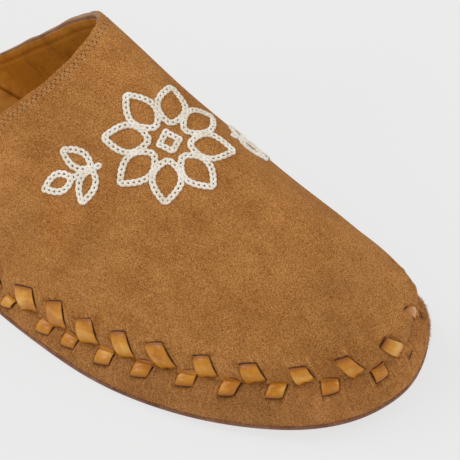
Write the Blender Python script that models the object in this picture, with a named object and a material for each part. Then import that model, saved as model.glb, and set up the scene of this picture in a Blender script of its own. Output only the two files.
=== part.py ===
"""A suede mule for the right foot: a thin leather sole, a footbed, a suede rand, a one-piece lined
upper that is open at the heel, and a flat leather thong laced over the seam in chevrons.

X runs from heel to toe, -Y is the outer side of the foot, Z is up. All sizes are in metres.
"""
import math

import bmesh
import bpy
import numpy as np

# Driving sizes
LENGTH = 0.2430
BALL_WIDTH = 0.0900
HEEL_WIDTH = 0.0620
INSTEP_HEIGHT = 0.0709
TOE_SPRING = 0.0046
SPRING_RUN = 0.0780
WAIST_LIFT = 0.0010
OUTSOLE = 0.0020
INSOLE = 0.0025
INSOLE_INSET = 0.0038
UPPER_WALL = 0.0017
RAND_WALL = 0.0016
RAND_BULGE = 0.0014
RAND_FOOT = 0.0006
EDGE_EASE = 0.0004
SEAM_INSET = 0.0073
SEAM_HEIGHT = 0.0128
SEAM_STEP = 0.0007
CROWN_BACK = 0.0435
CROWN_SIDE = 0.0025
INSTEP_SIDE = 0.0075
SIDE_POWER = 1.80
TOE_POWER = 2.95
THONG = 0.0011
THONG_EDGE = 0.0004
THONG_RIDE = 0.0004
PITCH = 0.0149
GAP = 0.0003

# The sole's edge, from the middle of the heel along the outer side to the toe and back along the
# inner side. Columns: share of the length, share of the local width.
OUTLINE = (
    (0.000, +0.016), (0.018, -0.242), (0.072, -0.419), (0.150, -0.492),
    (0.253, -0.524), (0.356, -0.538), (0.444, -0.532), (0.529, -0.509),
    (0.606, -0.497), (0.679, -0.499), (0.752, -0.478), (0.820, -0.430),
    (0.880, -0.358), (0.932, -0.260), (0.966, -0.161), (0.988, -0.061),
    (1.000, +0.089), (0.991, +0.218), (0.972, +0.320), (0.939, +0.413),
    (0.888, +0.470), (0.823, +0.498), (0.752, +0.500), (0.679, +0.489),
    (0.606, +0.468), (0.529, +0.457), (0.444, +0.455), (0.356, +0.468),
    (0.253, +0.493), (0.150, +0.500), (0.072, +0.444), (0.018, +0.274),
)

# The laced seam. Columns: share of the length back from the toe, share of SEAM_INSET in from the
# sole's edge, share of SEAM_HEIGHT above the ground line of the sole.
SEAM = (
    (0.000, 0.49, 1.00), (0.006, 0.63, 0.97), (0.021, 0.77, 0.94), (0.056, 0.95, 0.94),
    (0.105, 1.00, 0.94), (0.158, 0.96, 0.91), (0.214, 0.89, 0.87), (0.270, 0.77, 0.80),
    (0.327, 0.59, 0.71), (0.385, 0.44, 0.63), (0.438, 0.33, 0.57), (0.500, 0.27, 0.55),
    (0.576, 0.25, 0.55), (0.680, 0.22, 0.53), (0.760, 0.20, 0.47), (1.000, 0.20, 0.45),
)

# The ridge line of the upper. Columns: share of the length from the heel, share of INSTEP_HEIGHT.
RIDGE = (
    (0.377, 1.109), (0.500, 0.968), (0.582, 0.849), (0.665, 0.750),
    (0.747, 0.669), (0.829, 0.612), (0.912, 0.486),
)

# The collar's edge on each side. Columns: share of the way up the section, share of the length
# from the heel.
COLLAR_OUTER = (
    (0.00, 0.200), (0.02, 0.218), (0.06, 0.248), (0.12, 0.298), (0.20, 0.348), (0.30, 0.393),
    (0.40, 0.425), (0.51, 0.450), (0.59, 0.465), (0.685, 0.480), (0.80, 0.488), (0.90, 0.487),
    (1.00, 0.480),
)
COLLAR_INNER = (
    (0.00, 0.200), (0.04, 0.222), (0.09, 0.249), (0.13, 0.268), (0.175, 0.288), (0.225, 0.308),
    (0.27, 0.328), (0.32, 0.346), (0.375, 0.365), (0.44, 0.384), (0.505, 0.404), (0.59, 0.427),
    (0.70, 0.449), (0.85, 0.470), (1.00, 0.480),
)

# One chevron of the thong, flat in the plane of the seam: a strip from the vamp down to the seam and
# one from the seam down the rand. Columns: along the seam and up across it, first for the edge that
# faces the heel, then for the edge that faces the toe, all in shares of PITCH.
CHEVRON = (
    ("head", -0.638, +0.423, -0.302, +0.523),
    ("upper strip", -0.470, +0.141, -0.154, +0.295),
    ("upper foot", -0.295, -0.134, +0.013, +0.060),
    ("fold", -0.013, -0.087, +0.148, +0.034),
    ("lower head", +0.120, -0.105, +0.416, -0.005),
    ("lower strip", +0.107, -0.240, +0.376, -0.188),
    ("foot", +0.087, -0.376, +0.336, -0.342),
)
# The chevrons are counted from the toe; they stand closer towards the heel.
CHEVRON_COUNT = 25
CHEVRON_START = 0.275
CHEVRON_CROWDING = 0.009

RING = 480
SUEDE = ("suede", (0.352, 0.150, 0.047), 0.95)
RAND_SUEDE = ("rand_suede", (0.335, 0.140, 0.043), 0.95)
SOLE_LEATHER = ("sole_leather", (0.075, 0.026, 0.014), 0.55)
BED_LEATHER = ("bed_leather", (0.225, 0.080, 0.010), 0.60)
THONG_LEATHER = ("thong_leather", (0.500, 0.225, 0.035), 0.45)


def ease(t):
    t = np.clip(t, 0.0, 1.0)
    return t * t * (3.0 - 2.0 * t)


def solve_spline(t, values, closed):
    """Second derivatives of the cubic spline through the values at t."""
    n = len(t) - 1 if closed else len(t)
    h = np.diff(t)
    a, b = np.zeros((n, n)), np.zeros((n,) + values.shape[1:])
    for i in range(n):
        if not closed and i in (0, n - 1):
            a[i, i] = 1.0
            continue
        back, ahead = h[i - 1], h[i]
        a[i, (i - 1) % n] += back
        a[i, i] += 2.0 * (back + ahead)
        a[i, (i + 1) % n] += ahead
        before = values[i - 1 if i else n - 1]
        b[i] = 6.0 * ((values[i + 1] - values[i]) / ahead - (values[i] - before) / back)
    m = np.linalg.solve(a, b)
    return np.concatenate([m, m[:1]]) if closed else m


def spline_at(t, values, m, u):
    k = np.clip(np.searchsorted(t, u, side="right") - 1, 0, len(t) - 2)
    h = t[k + 1] - t[k]
    a, b = t[k + 1] - u, u - t[k]
    shape = np.shape(u) + (1,) * (values.ndim - 1)
    a, b, h = (np.reshape(v, shape) for v in (a, b, h))
    return (m[k] * a ** 3 / (6 * h) + m[k + 1] * b ** 3 / (6 * h)
            + (values[k] / h - m[k] * h / 6) * a + (values[k + 1] / h - m[k + 1] * h / 6) * b)


def ground(x):
    """Height of the sole's underside: flat, lifted a little at the waist, sprung at the toe."""
    spring = np.clip((x - (LENGTH / 2 - SPRING_RUN)) / SPRING_RUN, 0.0, 1.0)
    u = x / LENGTH + 0.5
    waist = ease((u - 0.20) / 0.16) * (1.0 - ease((u - 0.42) / 0.16))
    return TOE_SPRING * spring ** 2 + WAIST_LIFT * waist


def around(values, reach=0.025):
    """A value per ring step, evened out along the ring."""
    half = int(RING * reach)
    weight = np.hanning(2 * half + 3)[1:-1]
    long = np.concatenate([values[-half:], values, values[:half]])
    return np.convolve(long, weight / weight.sum(), "valid")


def sole_ring():
    """The sole's edge at even steps, with its inward direction."""
    rows = []
    for along, across in OUTLINE:
        width = HEEL_WIDTH + (BALL_WIDTH - HEEL_WIDTH) * ease((along - 0.25) / 0.40)
        rows.append(((along - 0.5) * LENGTH, across * width))
    rows = np.array(rows + rows[:1])
    t = np.concatenate([[0.0], np.cumsum(np.linalg.norm(np.diff(rows, axis=0), axis=1) ** 0.75)])
    m = solve_spline(t, rows, True)
    fine = spline_at(t, rows, m, np.linspace(0.0, t[-1], 4001))
    s = np.concatenate([[0.0], np.cumsum(np.linalg.norm(np.diff(fine, axis=0), axis=1))])
    even = np.arange(RING) / RING * s[-1]
    edge = np.column_stack([around(np.interp(even, s, fine[:, c]), 0.008) for c in (0, 1)])
    step = np.roll(edge, -1, axis=0) - np.roll(edge, 1, axis=0)
    inward = np.column_stack([-step[:, 1], step[:, 0]])
    return edge, inward / np.linalg.norm(inward, axis=1)[:, None]


EDGE, INWARD = sole_ring()


def seam_sizes():
    table = np.array(SEAM)
    back = 0.5 - EDGE[:, 0] / LENGTH
    inset = np.interp(back, table[:, 0], table[:, 1]) * SEAM_INSET
    height = np.interp(back, table[:, 0], table[:, 2]) * SEAM_HEIGHT
    return around(inset), around(height)


SEAM_IN, SEAM_UP = seam_sizes()


def ring_point(i, inset, up):
    """A point by the sole's edge: ring step, distance in from the edge, height above the ground line."""
    i = np.asarray(i, float)
    k = np.floor(i).astype(int)
    f = (i - k)[..., None]
    edge = EDGE[k % RING] * (1 - f) + EDGE[(k + 1) % RING] * f
    inward = INWARD[k % RING] * (1 - f) + INWARD[(k + 1) % RING] * f
    xy = edge + inward * np.asarray(inset, float)[..., None]
    return np.concatenate([xy, (ground(edge[..., 0]) + up)[..., None]], axis=-1)


def ring_value(values, i):
    k = np.floor(i).astype(int)
    f = i - k
    return values[k % RING] * (1 - f) + values[(k + 1) % RING] * f


SEAM_LINE = ring_point(np.arange(RING), SEAM_IN, SEAM_UP)
TOE_STEP = int(SEAM_LINE[:, 0].argmax())
CROWN_X = LENGTH / 2 - CROWN_BACK
RIDGE_X = np.array([(row[0] - 0.5) * LENGTH for row in RIDGE])
RIDGE_Z = np.array([row[1] * INSTEP_HEIGHT for row in RIDGE])
RIDGE_M = solve_spline(RIDGE_X, RIDGE_Z, False)
PEAK_X = (COLLAR_OUTER[-1][1] - 0.5) * LENGTH


def ridge_height(x):
    return spline_at(RIDGE_X, RIDGE_Z, RIDGE_M, np.asarray(x, float))


def ridge_side(x):
    """How far the ridge lies to the inner side of the toe's middle."""
    toe = SEAM_LINE[TOE_STEP, 1]
    t = np.clip((CROWN_X - x) / (CROWN_X - PEAK_X), 0.0, 1.4)
    return toe + CROWN_SIDE + (INSTEP_SIDE - CROWN_SIDE) * t


def by_x(points):
    return points[np.argsort(points[:, 0])]


OUTER_SEAM = by_x(SEAM_LINE[:TOE_STEP + 1])
INNER_SEAM = by_x(SEAM_LINE[TOE_STEP:])
CROWN = np.array([CROWN_X, float(ridge_side(CROWN_X)), float(ridge_height(CROWN_X))])
CROWN_SLOPE = float(ridge_height(CROWN_X + 1e-5) - ridge_height(CROWN_X - 1e-5)) / 2e-5


def toe_table():
    """The seam ahead of the crown by its angle round the crown."""
    rows = [SEAM_LINE[k] for k in range(RING) if SEAM_LINE[k, 0] > CROWN_X]
    for line in (OUTER_SEAM, INNER_SEAM):
        rows.append([CROWN_X] + [np.interp(CROWN_X, line[:, 0], line[:, c]) for c in (1, 2)])
    rows = np.array(rows)
    angle = np.arctan2(rows[:, 1] - CROWN[1], rows[:, 0] - CROWN[0])
    order = np.argsort(angle)
    return angle[order], rows[order]


TOE_ANGLE, TOE_SEAM = toe_table()


def section(phi, power):
    """Share of the half width and share of the height, from the seam (0) to the ridge (1)."""
    wide = np.where(phi >= 1.0, 0.0, np.cos(np.clip(phi, 0, 1) * math.pi / 2) ** (2.0 / power))
    return wide, np.sin(np.clip(phi, 0, 1) * math.pi / 2) ** (2.0 / power)


def side_point(x, phi, inner):
    """The upper's outside at length x, behind the crown."""
    x, phi = np.broadcast_arrays(np.asarray(x, float), np.asarray(phi, float))
    line = INNER_SEAM if inner else OUTER_SEAM
    y, z = (np.interp(x, line[:, 0], line[:, c]) for c in (1, 2))
    wide, high = section(phi, SIDE_POWER)
    middle = ridge_side(x)
    return np.stack([x, middle + (y - middle) * wide, z + (ridge_height(x) - z) * high], axis=-1)


def toe_point(angle, phi):
    """The upper's outside ahead of the crown, by the angle round the crown."""
    angle, phi = np.broadcast_arrays(np.asarray(angle, float), np.asarray(phi, float))
    x, y, z = (np.interp(angle, TOE_ANGLE, TOE_SEAM[:, c]) for c in (0, 1, 2))
    power = SIDE_POWER + (TOE_POWER - SIDE_POWER) * np.cos(angle) ** 2
    wide, high = section(phi, power)
    reach = np.hypot(x - CROWN[0], y - CROWN[1]) * wide
    ahead = reach * np.cos(angle)
    top = CROWN[2] + CROWN_SLOPE * ahead
    return np.stack([CROWN[0] + ahead, CROWN[1] + reach * np.sin(angle), z + (top - z) * high], axis=-1)


def over_seam(i, phi):
    """The upper's outside above ring step i."""
    s = np.stack([ring_value(SEAM_LINE[:, c], np.asarray(i, float)) for c in (0, 1)], axis=-1)
    angle = np.arctan2(s[..., 1] - CROWN[1], s[..., 0] - CROWN[0])
    inner = np.asarray(i) > TOE_STEP
    side = np.where(inner[..., None], side_point(s[..., 0], phi, True), side_point(s[..., 0], phi, False))
    toe = toe_point(np.clip(angle, TOE_ANGLE[0], TOE_ANGLE[-1]), phi)
    return np.where((s[..., 0] > CROWN_X)[..., None], toe, side)


def rand_profile(inset, height, rows=6):
    """The rand's section as (in, up) points, both upwards: its outside, then its inside."""
    foot = OUTSOLE + GAP
    top = height - GAP
    rise = top - foot
    start = np.array([RAND_FOOT, foot])
    end = np.array([inset + SEAM_STEP, top])
    full = min(1.0, rise / (0.5 * SEAM_HEIGHT))
    low = start + np.array([-RAND_BULGE * full, rise * 0.45])
    high = end + np.array([-(end[0] - start[0]) * 0.45 - EDGE_EASE, -rise * 0.12])
    t = np.linspace(0.0, 1.0, rows)[:, None]
    outside = (start * (1 - t) ** 3 + 3 * low * t * (1 - t) ** 2
               + 3 * high * t ** 2 * (1 - t) + end * t ** 3)
    step = np.gradient(outside, axis=0)
    inward = np.column_stack([step[:, 1], -step[:, 0]])
    inward /= np.linalg.norm(inward, axis=1)[:, None]
    inside = outside + inward * RAND_WALL
    inside[0] = (start[0] + RAND_WALL, foot)
    inside[1:, 1] = np.maximum(inside[1:, 1], foot + EDGE_EASE)
    return outside, inside


def add_object(name, vertices, faces, look, smooth=True):
    mesh = bpy.data.meshes.new(name)
    mesh.from_pydata([tuple(map(float, v)) for v in vertices], [], [tuple(map(int, f)) for f in faces])
    mesh.validate()
    if smooth:
        mesh.polygons.foreach_set("use_smooth", [True] * len(mesh.polygons))
    label, colour, rough = look
    material = bpy.data.materials.get(label) or bpy.data.materials.new(label)
    material.use_nodes = True
    shader = material.node_tree.nodes["Principled BSDF"]
    shader.inputs["Base Color"].default_value = (*colour, 1.0)
    shader.inputs["Roughness"].default_value = rough
    shader.inputs["Metallic"].default_value = 0.0
    mesh.materials.append(material)
    thing = bpy.data.objects.new(name, mesh)
    bpy.context.scene.collection.objects.link(thing)
    return thing


def build_slab(name, inset, low, high, look, stations=44, across=6):
    """A sheet that follows the sole, with its edges eased."""
    rim = EDGE_EASE
    levels = ((inset + rim, low), (inset, low + rim), (inset, high - rim), (inset + rim, high))
    vertices, layer = [], []
    turn = np.linspace(0.0, math.pi, stations)
    for index, (edge_in, up) in enumerate(levels):
        loop = ring_point(np.arange(RING), np.full(RING, edge_in), 0.0)
        tip, heel = int(loop[:, 0].argmax()), int(loop[:, 0].argmin())
        path = np.roll(loop, -heel, axis=0)
        split = (tip - heel) % RING
        outer, inner = by_x(path[:split + 1]), by_x(np.concatenate([path[split:], path[:1]]))
        x = (loop[tip, 0] + loop[heel, 0]) / 2 - np.cos(turn) * (loop[tip, 0] - loop[heel, 0]) / 2
        near, far = (np.interp(x, line[:, 0], line[:, 1]) for line in (outer, inner))
        flat = index in (0, 3)
        table = []
        for k in range(stations):
            if k in (0, stations - 1):
                shares = [0.5]
            else:
                shares = np.linspace(0.0, 1.0, across + 1) if flat else [0.0, 1.0]
            row = []
            for share in shares:
                row.append(len(vertices))
                vertices.append((x[k], near[k] + (far[k] - near[k]) * share, ground(x[k]) + up))
            table.append(row)
        layer.append(table)
    faces = []
    for index, upward in ((0, False), (3, True)):
        for a, b in zip(layer[index][:-1], layer[index][1:]):
            a = a * (across + 1) if len(a) == 1 else a
            b = b * (across + 1) if len(b) == 1 else b
            for j in range(across):
                quad = [a[j], b[j], b[j + 1], a[j + 1]]
                quad = list(dict.fromkeys(quad))
                faces.append(quad if upward else quad[::-1])
    for low_rows, high_rows in zip(layer[:-1], layer[1:]):
        for k in range(stations - 1):
            for end, flip in ((0, False), (-1, True)):
                quad = [low_rows[k][end], low_rows[k + 1][end], high_rows[k + 1][end], high_rows[k][end]]
                quad = list(dict.fromkeys(quad))
                faces.append(quad[::-1] if flip else quad)
    return add_object(name, vertices, faces, look)


def build_rand(columns=120, rows=6):
    vertices = []
    for c in range(columns):
        i = c / columns * RING
        inset, height = float(ring_value(SEAM_IN, np.array(i))), float(ring_value(SEAM_UP, np.array(i)))
        outside, inside = rand_profile(inset, height, rows)
        loop = np.concatenate([outside, inside[::-1]])
        vertices.extend(ring_point(np.full(len(loop), i), loop[:, 0], loop[:, 1]))
    n = 2 * rows
    faces = []
    for c in range(columns):
        a, b = c * n, (c + 1) % columns * n
        faces += [(a + r, b + r, b + (r + 1) % n, a + (r + 1) % n) for r in range(n)]
    return add_object("rand", vertices, faces, RAND_SUEDE)


def upper_grid(sides=20, turns=30, rows=13):
    """Points of the upper's outside: rows from the seam to the ridge, columns from the outer end of
    the collar round the toe to the inner end. The last row is the ridge."""
    phi = np.linspace(0.0, 1.0, rows + 1) ** 0.9
    grid = []
    for p in phi[:-1]:
        row = []
        for table, inner in ((COLLAR_OUTER, False), (COLLAR_INNER, True)):
            t = np.array(table)
            start = (np.interp(p, t[:, 0], t[:, 1]) - 0.5) * LENGTH
            x = start + (CROWN_X - start) * np.linspace(0.0, 1.0, sides + 1)
            row.append(side_point(x, p, inner))
        turn = np.linspace(TOE_ANGLE[0], TOE_ANGLE[-1], turns + 1)[1:-1]
        grid.append(np.concatenate([row[0], toe_point(turn, p), row[1][::-1]]))
    x = PEAK_X + (CROWN_X - PEAK_X) * np.linspace(0.0, 1.0, sides + 1)
    ridge = side_point(x, 1.0, False)
    return np.array(grid), ridge


def ease_skin(points, faces, fixed, passes=4, pull=0.5):
    """Draw each point towards the middle of its neighbours, where the toe's sections meet the
    side's, and leave the fixed edge points as they are."""
    pairs = {tuple(sorted((f[k], f[(k + 1) % len(f)]))) for f in faces for k in range(len(f))}
    a, b = np.array(sorted(pairs)).T
    free = np.ones(len(points), bool)
    free[fixed] = False
    for _ in range(passes):
        total, count = np.zeros_like(points), np.zeros(len(points))
        for p, q in ((a, b), (b, a)):
            np.add.at(total, p, points[q])
            np.add.at(count, p, 1)
        middle = total / count[:, None]
        points = np.where(free[:, None], points + pull * (middle - points), points)
    return points


def build_upper(sides=20, turns=30, rows=13):
    grid, ridge = upper_grid(sides, turns, rows)
    count = grid.shape[1]
    points = np.concatenate([grid.reshape(-1, 3), ridge])
    base = rows * count

    def corner(r, c):
        if r < rows:
            return r * count + c
        if c <= sides:
            return base + c
        return base + sides if c < count - 1 - sides else base + (count - 1 - c)

    skin = []
    for r in range(rows):
        for c in range(count - 1):
            quad = [corner(r, c), corner(r, c + 1), corner(r + 1, c + 1), corner(r + 1, c)]
            skin.append(list(dict.fromkeys(quad)))
    firm = list(range(rows // 2 * count))
    firm += [corner(r, c) for r in range(rows // 2, rows + 1) for c in (0, count - 1)]
    points = ease_skin(points, skin, firm)
    normal = np.zeros_like(points)
    for f in skin:
        for k in range(1, len(f) - 1):
            v = np.cross(points[f[k]] - points[f[0]], points[f[k + 1]] - points[f[0]])
            for corner_id in (f[0], f[k], f[k + 1]):
                normal[corner_id] += v
    normal /= np.linalg.norm(normal, axis=1)[:, None]
    normal[:count, 2] = 0.0
    normal[:count] /= np.linalg.norm(normal[:count], axis=1)[:, None]
    inside = points - normal * UPPER_WALL
    n = len(points)
    faces = skin + [[v + n for v in f[::-1]] for f in skin]
    rim = [corner(0, c) for c in range(count)]
    rim += [corner(r, count - 1) for r in range(1, rows)] + [corner(rows, 0)]
    rim += [corner(r, 0) for r in range(rows - 1, 0, -1)]
    for a, b in zip(rim, rim[1:] + rim[:1]):
        faces.append([b, a, a + n, b + n])
    return add_object("upper", np.concatenate([points, inside]), faces, SUEDE)


def lace_field(low=6, high=26):
    """The outside across the seam: for each ring step a line from the sole over the rand and up the
    vamp, with the distance from the seam along it."""
    steps = np.arange(RING)
    rows = []
    for k in range(low):
        share = []
        for i in steps:
            share.append(rand_profile(SEAM_IN[i], SEAM_UP[i], low)[0][k])
        share = np.array(share)
        rows.append(ring_point(steps, share[:, 0], share[:, 1]))
    for p in np.linspace(0.0, 0.42, high):
        rows.append(over_seam(steps, np.full(RING, p)))
    lines = np.array(rows).transpose(1, 0, 2)
    run = np.cumsum(np.linalg.norm(np.diff(lines, axis=1), axis=2), axis=1)
    gone = np.concatenate([np.zeros((RING, 1)), run], axis=1)
    return lines, gone - gone[:, low:low + 1]


def lace_points(field, arc, s, up, lift):
    """A point by the seam: s along it from the toe, up across it, lifted off the surface. Below the
    seam the strips shorten with the rand."""
    lines, gone = field
    reach = -min(row[2] for row in CHEVRON) * PITCH

    def at(s, up):
        i = np.interp(s, arc, np.arange(RING))
        k = int(math.floor(i))
        f = i - k
        room = -(gone[k % RING][0] * (1 - f) + gone[(k + 1) % RING][0] * f)
        if up < 0:
            up *= min(1.0, 0.80 * room / reach)
        a, b = (np.array([np.interp(up, gone[j % RING], lines[j % RING][:, c]) for c in range(3)])
                for j in (k, k + 1))
        return a * (1 - f) + b * f

    step = 0.30 * PITCH
    here = at(s, up)
    normal = np.cross(at(s, up + step) - at(s, up - step), at(s + step, up) - at(s - step, up))
    return here - normal / np.linalg.norm(normal) * lift


def build_lacing(steps_between=2):
    field = lace_field()
    length = np.concatenate([[0.0], np.cumsum(np.linalg.norm(np.diff(SEAM_LINE, axis=0), axis=1))])
    arc = length - length[TOE_STEP]
    table = np.array([row[1:] for row in CHEVRON])
    stop = np.linspace(0.0, len(table) - 1, steps_between * (len(table) - 1) + 1)
    rows = np.column_stack([np.interp(stop, np.arange(len(table)), table[:, c]) for c in range(4)])
    made = []
    half = CHEVRON_COUNT // 2
    for number in range(-half, CHEVRON_COUNT - half):
        start = PITCH * (CHEVRON_START + number - CHEVRON_CROWDING * number * abs(number))
        vertices, faces = [], []
        for k, (s0, h0, s1, h1) in enumerate(rows):
            swell = abs(math.sin(2 * math.pi * stop[k] / (len(table) - 1))) ** 0.6
            edge = THONG_EDGE + (THONG - THONG_EDGE) * 0.55 * swell
            crown = 1.2 * THONG_EDGE + (THONG - 1.2 * THONG_EDGE) * swell
            for share, lift in ((0.0, 0.0), (0.5, 0.0), (1.0, 0.0), (1.0, edge), (0.5, crown), (0.0, edge)):
                s = start + (s0 + (s1 - s0) * share) * PITCH
                h = (h0 + (h1 - h0) * share) * PITCH
                vertices.append(lace_points(field, arc, s, h, GAP + THONG_RIDE + lift))
        n = 6
        for k in range(len(rows) - 1):
            for j in range(n):
                faces.append([k * n + j, k * n + (j + 1) % n, (k + 1) * n + (j + 1) % n, (k + 1) * n + j])
        last = (len(rows) - 1) * n
        for first, flip in ((0, True), (last, False)):
            for quad in ([0, 1, 4, 5], [1, 2, 3, 4]):
                quad = [first + q for q in quad]
                faces.append(quad[::-1] if flip else quad)
        made.append(add_object(f"thong_{number + half + 1:02d}", vertices, faces, THONG_LEATHER))
    return made


def outward(things):
    """Point every face of each closed body outwards."""
    for thing in things:
        work = bmesh.new()
        work.from_mesh(thing.data)
        bmesh.ops.recalc_face_normals(work, faces=work.faces[:])
        if work.calc_volume(signed=True) < 0.0:
            bmesh.ops.reverse_faces(work, faces=work.faces[:])
        work.to_mesh(thing.data)
        work.free()


def centre(things):
    """Put the object's box on the origin: centred in plan, its underside at zero."""
    points = np.array([v.co[:] for thing in things for v in thing.data.vertices])
    low, high = points.min(axis=0), points.max(axis=0)
    shift = ((low[0] + high[0]) / 2, (low[1] + high[1]) / 2, low[2])
    for thing in things:
        for v in thing.data.vertices:
            v.co = [v.co[c] - shift[c] for c in range(3)]
        thing.data.update()
    print("shift", [round(float(v), 5) for v in shift])


def main():
    for thing in list(bpy.data.objects):
        bpy.data.objects.remove(thing, do_unlink=True)
    bed = OUTSOLE + GAP
    things = [
        build_slab("outsole", 0.0, 0.0, OUTSOLE, SOLE_LEATHER),
        build_slab("insole", INSOLE_INSET, bed, bed + INSOLE, BED_LEATHER),
        build_rand(),
        build_upper(),
    ]
    things += build_lacing()
    outward(things)
    centre(things)
    for thing in things:
        print(thing.name, len(thing.data.vertices), "vertices")


if __name__ == "__main__":
    main()
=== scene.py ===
# %% [markdown]
# # A laced suede mule
# This lesson dresses a plain CAD model of a right-foot mule: a suede vamp that is open at the heel,
# a suede rand under it, a flat leather thong laced over the seam in chevrons, a leather lining, a
# footbed and a thin sole. The CAD part gives the frame and the sizes. Every piece that is seen gets
# a finer mesh, drawn from the same last, and a finish that is made from nodes alone.

# %% Kit, frame and the box of the CAD part
import math

import bpy
import numpy as np
from mathutils import Matrix, Vector
from mathutils.bvhtree import BVHTree


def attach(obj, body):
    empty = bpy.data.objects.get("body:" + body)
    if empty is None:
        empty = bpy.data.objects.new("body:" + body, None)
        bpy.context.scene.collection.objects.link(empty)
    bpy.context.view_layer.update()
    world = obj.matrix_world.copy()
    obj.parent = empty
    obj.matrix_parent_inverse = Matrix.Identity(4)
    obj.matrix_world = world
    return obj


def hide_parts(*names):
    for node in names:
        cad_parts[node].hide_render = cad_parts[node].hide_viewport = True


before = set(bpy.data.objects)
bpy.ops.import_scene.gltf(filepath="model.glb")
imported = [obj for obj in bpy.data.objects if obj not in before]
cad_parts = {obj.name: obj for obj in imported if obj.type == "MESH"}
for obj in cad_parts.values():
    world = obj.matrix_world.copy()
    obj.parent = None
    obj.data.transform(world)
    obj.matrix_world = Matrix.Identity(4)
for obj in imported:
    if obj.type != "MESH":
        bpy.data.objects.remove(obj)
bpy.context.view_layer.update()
MM = 0.001


def in_mm(values):
    return [round(float(v) / MM, 1) for v in values]


# %% [markdown]
# ## Shader maths that reads like a formula
# A finish is a small sum of noises. Nodes could be wired one by one, but then the formula is lost
# in the wiring. A wrapped socket with the usual operators keeps it readable: each operator adds one
# Math node. A colour never goes through a Math node, which would turn it grey, but through Mix.

# %% A socket that can be added and multiplied
class Sock:
    """A node's output that can be used like a number in a formula."""

    def __init__(self, sheet, socket):
        self.sheet, self.socket = sheet, socket

    def math(self, operation, other, flipped=False):
        pair = (other, self) if flipped else (self, other)
        return self.sheet.node("ShaderNodeMath", {"operation": operation}, {0: pair[0], 1: pair[1]})

    def __add__(self, other):
        return self.math("ADD", other)

    __radd__ = __add__

    def __sub__(self, other):
        return self.math("SUBTRACT", other)

    def __rsub__(self, other):
        return self.math("SUBTRACT", other, True)

    def __mul__(self, other):
        return self.math("MULTIPLY", other)

    __rmul__ = __mul__

    def between(self, low, high):
        """0 below low, 1 above high, and soft in between."""
        return self.sheet.node("ShaderNodeMapRange", {"interpolation_type": "SMOOTHSTEP"},
                               {"Value": self, "From Min": low, "From Max": high})


print("a formula can use +, - and *")

# %% A finish that is made of formulas
class Finish:
    """One material: fixed settings on the shader, and links for what changes over the surface."""

    def __init__(self, name, colour, roughness, **fixed):
        self.material = bpy.data.materials.new(name)
        self.material.use_nodes = True
        self.tree = self.material.node_tree
        self.shader = self.tree.nodes["Principled BSDF"]
        self.put(self.shader, "Base Color", (*colour, 1.0))
        self.put(self.shader, "Roughness", roughness)
        for label, value in fixed.items():
            self.put(self.shader, label.replace("_", " "), value)

    def put(self, node, key, value):
        """Set a socket of a node to a value, or link it."""
        socket = node.inputs[key]
        if isinstance(value, Sock):
            self.tree.links.new(value.socket, socket)
        else:
            socket.default_value = value

    def node(self, kind, settings, sockets, out=0):
        """Any node: its type, its settings, the values or links of its sockets, and the output."""
        node = self.tree.nodes.new(kind)
        for label, value in settings.items():
            setattr(node, label, value)
        for key, value in sockets.items():
            self.put(node, key, value)
        return Sock(self, node.outputs[out])

    def place(self, stretch=(1.0, 1.0, 1.0)):
        """Where the point lies on the object, in metres, stretched along an axis."""
        here = self.node("ShaderNodeTexCoord", {}, {}, "Object")
        return self.node("ShaderNodeVectorMath", {"operation": "MULTIPLY"}, {0: here, 1: stretch})

    def noise(self, size, detail=3.0, rough=0.55, stretch=(1.0, 1.0, 1.0), warp=0.0):
        """Noise with lumps of about this size in metres."""
        return self.node("ShaderNodeTexNoise", {"noise_dimensions": "3D"},
                         {"Vector": self.place(stretch), "Scale": 1.0 / size, "Detail": detail,
                          "Roughness": rough, "Distortion": warp})

    def cells(self, size):
        """Soft round cells of about this size in metres, for pores."""
        return self.node("ShaderNodeTexVoronoi", {"feature": "SMOOTH_F1"},
                         {"Vector": self.place(), "Scale": 1.0 / size}, "Distance")

    def stored(self, name):
        """A value that the mesh keeps at each of its points."""
        return self.node("ShaderNodeAttribute", {"attribute_name": name}, {}, "Fac")

    def mix(self, share, a, b):
        """Colour a where share is 0, colour b where it is 1."""
        a, b = ((*c, 1.0) if isinstance(c, tuple) else c for c in (a, b))
        return self.node("ShaderNodeMix", {"data_type": "RGBA"}, {0: share, 6: a, 7: b}, 2)

    def colour(self, value):
        self.put(self.shader, "Base Color", value)

    def roughness(self, value):
        self.put(self.shader, "Roughness", value)

    def relief(self, height, depth):
        """Raise the surface in the light by height, a value around 0 to 1, times depth in metres."""
        bump = self.node("ShaderNodeBump", {}, {"Height": height, "Distance": depth, "Strength": 1.0},
                         "Normal")
        self.put(self.shader, "Normal", bump)


print("shader maths ready")

# %% [markdown]
# ## Suede
# Suede is the flesh side of a hide, sanded until it has a nap. Fingers and brushes push the nap
# about, so it shows soft clouds, short strokes and, up close, fibre ends. Hair particles over the
# whole shoe would be heavy and would not be kept by an export, so four sizes of noise make the
# clouds, the strokes, the nap and the grain, a bump lifts them, and a little sheen stands for the
# fibres that catch light at the edge. Real fibres are added later, where they show.
#
# Two things change from place to place: how much lighter or darker the suede is painted, partly for
# nap that is brushed and partly as painted light and shade, and how much the suede is gathered into
# pleats by the lacing. The meshes store both at their points, and the finish reads them there. The
# pleats are a noise that is long one way and narrow the other. It is a bump, and it is also painted
# into the colour as the light and shade on the pleats. It runs in the seam's measures, so that they
# follow the seam round the toe.

# %% The suede of the vamp and of the rand
CLOUD, STROKE, NAP, GRAIN = 0.021, 0.0055, 0.00105, 0.00037
PLEAT_WIDE, PLEAT_LONG = 0.0011, 0.0050
SUEDE_DEPTH, SUEDE_BRIGHT = 0.00060, 1.02


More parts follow.
